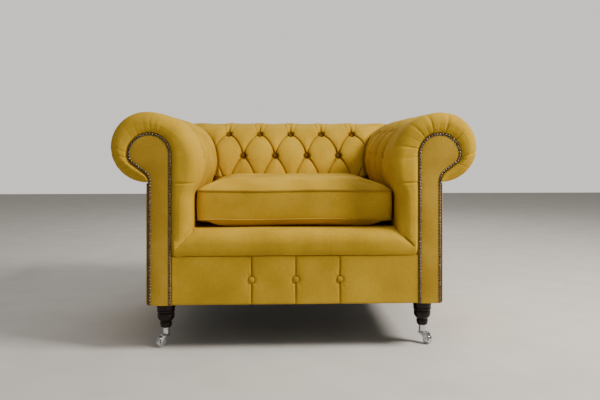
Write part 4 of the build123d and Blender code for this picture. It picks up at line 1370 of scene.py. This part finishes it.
# ------------------------------------------------------------------ legs and castors
def rear_leg(side: Side) -> None:
    """Makes a square leg that tapers and rakes backwards, with its edges eased."""
    rings = [((399.0, 340.0), 17.0, 0.0), ((399.0, 315.0), 29.0, 142.8)]
    verts = [((x + a * half) * side.value, y + b * half, z) for (x, y), half, z in rings
             for a, b in ((-1, -1), (1, -1), (1, 1), (-1, 1))]
    faces = [[0, 1, 2, 3], [4, 5, 6, 7], *([k, (k + 1) % 4, (k + 1) % 4 + 4, k + 4] for k in range(4))]
    leg = mesh_piece("raked_leg" + side.tag, np.array(verts), faces)
    bevel = leg.modifiers.new("edge", "BEVEL")
    bevel.width, bevel.segments = 2.2 * MM, 3
    settle(leg, 40.0)
    dress(leg, Finish.MAHOGANY, ROOT, "leg_wood", "rear_leg" + side.tag)


@dataclass
class FrontLeg:
    """Turned front leg on a swivelling cup castor."""

    x: float = 401.0
    y: float = -397.0
    trail: float = 20.0
    turned_out: float = 40.0
    wheel_r: float = 15.0

    def build(self, side: Side) -> None:
        """Makes the leg, cup, fork, axle and wheel of one side."""
        centre = (self.x * side.value, self.y)
        leg = lathe("turned_leg" + side.tag, [
            (12.4, 57.2), (15.0, 58.0), (16.6, 60.5), (17.5, 64.5), (18.1, 69), (18.2, 72), (17.7, 74.3),
            (17.0, 75.6), (17.6, 77.0), (19.6, 79), (22.0, 81.6), (24.4, 85), (25.9, 89), (26.5, 94),
            (26.4, 99), (25.9, 102.4), (25.3, 104), (26.4, 105), (27.6, 106.6), (28.0, 109), (27.7, 111.4),
            (26.9, 113), (27.3, 114.4), (28.0, 117), (28.6, 121), (29.0, 128), (29.3, 136),
            (29.5, 142.8)], 56, centre)
        dress(leg, Finish.MAHOGANY, ROOT, "leg_wood", "front_leg" + side.tag)
        cup = lathe("castor_cup_shell" + side.tag, [
            (8.6, 36.0), (9.9, 36.3), (10.5, 37.4), (10.8, 41), (11.2, 48), (11.6, 53.6), (12.2, 54.4),
            (12.5, 55.4), (12.4, 56.6), (11.8, 57.1), (9.6, 57.1)], 48, centre)
        dress(cup, Finish.CHROME, ROOT, "castor_metal", "castor_cup" + side.tag)
        heading = math.radians(self.turned_out)
        away = np.array([side.value * math.sin(heading), -math.cos(heading), 0.0])
        across = np.array([math.cos(heading), side.value * math.sin(heading), 0.0])
        self.fork(side, np.array([*centre, 0.0]), away, across)
        hub = np.array([*centre, self.wheel_r]) + away * self.trail
        wheel = lathe("wheel", [
            (2.6, -7.1), (4.6, -7.1), (5.2, -6.6), (5.8, -5.2), (10.2, -5.2), (11.0, -6.7), (12.0, -7.0),
            (13.4, -6.9), (14.5, -6.0), (15.0, -4.4), (15.0, 4.4), (14.5, 6.0), (13.4, 6.9), (12.0, 7.0),
            (11.0, 6.7), (10.2, 5.2), (5.8, 5.2), (5.2, 6.6), (4.6, 7.1), (2.6, 7.1)], 48)
        wheel = copies("castor_roller" + side.tag, wheel, [facing_place(hub, across)])
        dress(wheel, Finish.CHROME, "castor_wheel" + side.tag, "castor_metal", "castor_wheel" + side.tag)
        axle = lathe("axle", [(2.2, -11.6), (3.2, -11.2), (3.6, -10.2), (3.6, -9.9), (2.0, -9.9), (2.0, 9.9),
                              (3.6, 9.9), (3.6, 10.2), (3.2, 11.2), (2.2, 11.6)], 20)
        axle = copies("castor_pin" + side.tag, axle, [facing_place(hub, across)])
        dress(axle, Finish.CHROME, "castor_swivel" + side.tag, "castor_metal", "castor_axle" + side.tag)

    def fork(self, side: Side, centre: np.ndarray, away: np.ndarray, across: np.ndarray) -> None:
        """Makes the castor's horn: a crown plate with two cheeks that reach down to the axle."""
        cheek = [(-8.5, 35.2), (-9.5, 33.6), (-8.5, 31.6), (-2.0, 29.6), (6.0, 25.5), (11.5, 20.0),
                 (13.8, 14.0), (16.6, 10.6), (20.0, 9.6), (23.4, 10.6), (26.0, 14.0), (26.6, 19.0),
                 (25.4, 26.0), (22.5, 31.5), (18.0, 34.6), (12.0, 35.2)]
        verts, faces = [], []
        for sides in ((7.5, 9.9), (-9.9, -7.5)):
            add_prism(verts, faces, *([centre + away * t + across * w + (0, 0, z) for t, z in cheek]
                                      for w in sides))
        crown = [(-8.5, -8.0), (-4.0, -9.8), (12.0, -9.8), (18.0, -9.8),
                 (18.0, 9.8), (12.0, 9.8), (-4.0, 9.8), (-8.5, 8.0)]
        add_prism(verts, faces, *([centre + away * t + across * w + (0, 0, z) for t, w in crown]
                                  for z in (33.0, 35.3)))
        horn = mesh_piece("castor_horn" + side.tag, np.array(verts), faces)
        take(horn)
        bevel = horn.modifiers.new("edge", "BEVEL")
        bevel.width, bevel.segments = 0.5 * MM, 2
        settle(horn, 40.0)
        dress(horn, Finish.CHROME, "castor_swivel" + side.tag, "castor_metal", "castor_fork" + side.tag)


def dress_frame() -> None:
    """Gives every frame node that still shows the finish of its slot."""
    finishes = {"frame_wood": Finish.BEECH, "leg_wood": Finish.MAHOGANY, "webbing": Finish.WEBBING,
                "spring_steel": Finish.STEEL, "bolt_steel": Finish.STEEL, "zip_metal": Finish.ZIP,
                "zip_cloth": Finish.TAPE, "castor_metal": Finish.CHROME, "nail_metal": Finish.NAIL,
                "cushion_foam": Finish.FOAM, "lining_cloth": Finish.LINING}
    for part in frame["record"]["subparts"]:
        node = frame["nodes"][part["node"]]
        if node.hide_render:
            continue
        finish = finishes.get(part["material_slot"], Finish.VELOUR)
        node.data.materials.clear()
        node.data.materials.append(finish.material)
        LOG.info("%s keeps its frame shape, %s", part["node"], finish.value.name)


# ------------------------------------------------------------------ view and light
def area_light(name: str, place: Sequence[float], target: Sequence[float], size: float, power: float,
               colour: str) -> None:
    """A soft square light aimed at a point, in metres."""
    data = bpy.data.lights.new(name, "AREA")
    data.size, data.energy = size, power
    data.color = linear(colour)[:3]
    lamp = bpy.data.objects.new(name, data)
    lamp.location = place
    lamp.rotation_euler = (Vector(target) - Vector(place)).to_track_quat("-Z", "Y").to_euler()
    bpy.context.scene.collection.objects.link(lamp)


def studio() -> None:
    """Pale floor, soft light from the upper right front, and the camera."""
    deselect()
    bpy.ops.mesh.primitive_plane_add(size=12.0, location=(0, 0, 0))
    floor = bpy.context.object
    floor.name = "studio_floor"
    material, shader, place = new_material("pale_studio_floor")
    grain = add_node(material, "ShaderNodeTexNoise", {"Vector": place}, {"Scale": 6.0, "Detail": 4.0})
    colour = ramp(material, grain.outputs["Fac"], [(0.3, "CFCBC4"), (0.7, "D8D4CE")])
    material.node_tree.links.new(colour, shader.inputs["Base Color"])
    shader.inputs["Roughness"].default_value = 0.7
    floor.data.materials.append(material)
    world = bpy.data.worlds.new("studio_air")
    world.use_nodes = True
    world.node_tree.nodes["Background"].inputs["Color"].default_value = linear("E4E2DC")
    tree = world.node_tree
    path = tree.nodes.new("ShaderNodeLightPath")
    seen = tree.nodes.new("ShaderNodeMapRange")
    seen.inputs["To Min"].default_value, seen.inputs["To Max"].default_value = 0.36, 1.15
    tree.links.new(path.outputs["Is Camera Ray"], seen.inputs["Value"])
    tree.links.new(seen.outputs["Result"], tree.nodes["Background"].inputs["Strength"])
    bpy.context.scene.world = world
    area_light("key", (2.6, -1.25, 2.7), (0.0, -0.1, 0.45), 1.1, 175.0, "FFFAF2")
    area_light("fill", (0.1, -1.1, 3.2), (0.0, 0.0, 0.4), 2.0, 24.0, "FBFBFF")
    area_light("rim", (0.4, 2.6, 2.4), (0.0, 0.0, 0.5), 2.0, 25.0, "FFFFFF")
    data = bpy.data.cameras.new("camera")
    data.sensor_width, data.lens = 36.0, 37.74
    data.shift_y = -53.0 / 600.0
    camera = bpy.data.objects.new("camera", data)
    camera.location = (-0.0595, -2.366, 0.6155)
    camera.rotation_euler = (math.radians(90), 0, math.radians(-2.18))
    bpy.context.scene.collection.objects.link(camera)
    bpy.context.scene.camera = camera


def main() -> None:
    """Builds the chair round the frame and reports each piece."""
    logging.basicConfig(level=logging.INFO, format="%(name)s %(message)s")
    studio()
    for side in Side:
        Arm(creases=CREASES[side]).build(side)
    Back().build()
    SeatFront().build()
    OutsidePanels().build()
    Cushion().build()
    for side in Side:
        FrontLeg().build(side)
        rear_leg(side)
    dress_frame()
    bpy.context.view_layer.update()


if __name__ == "__main__":
    main()
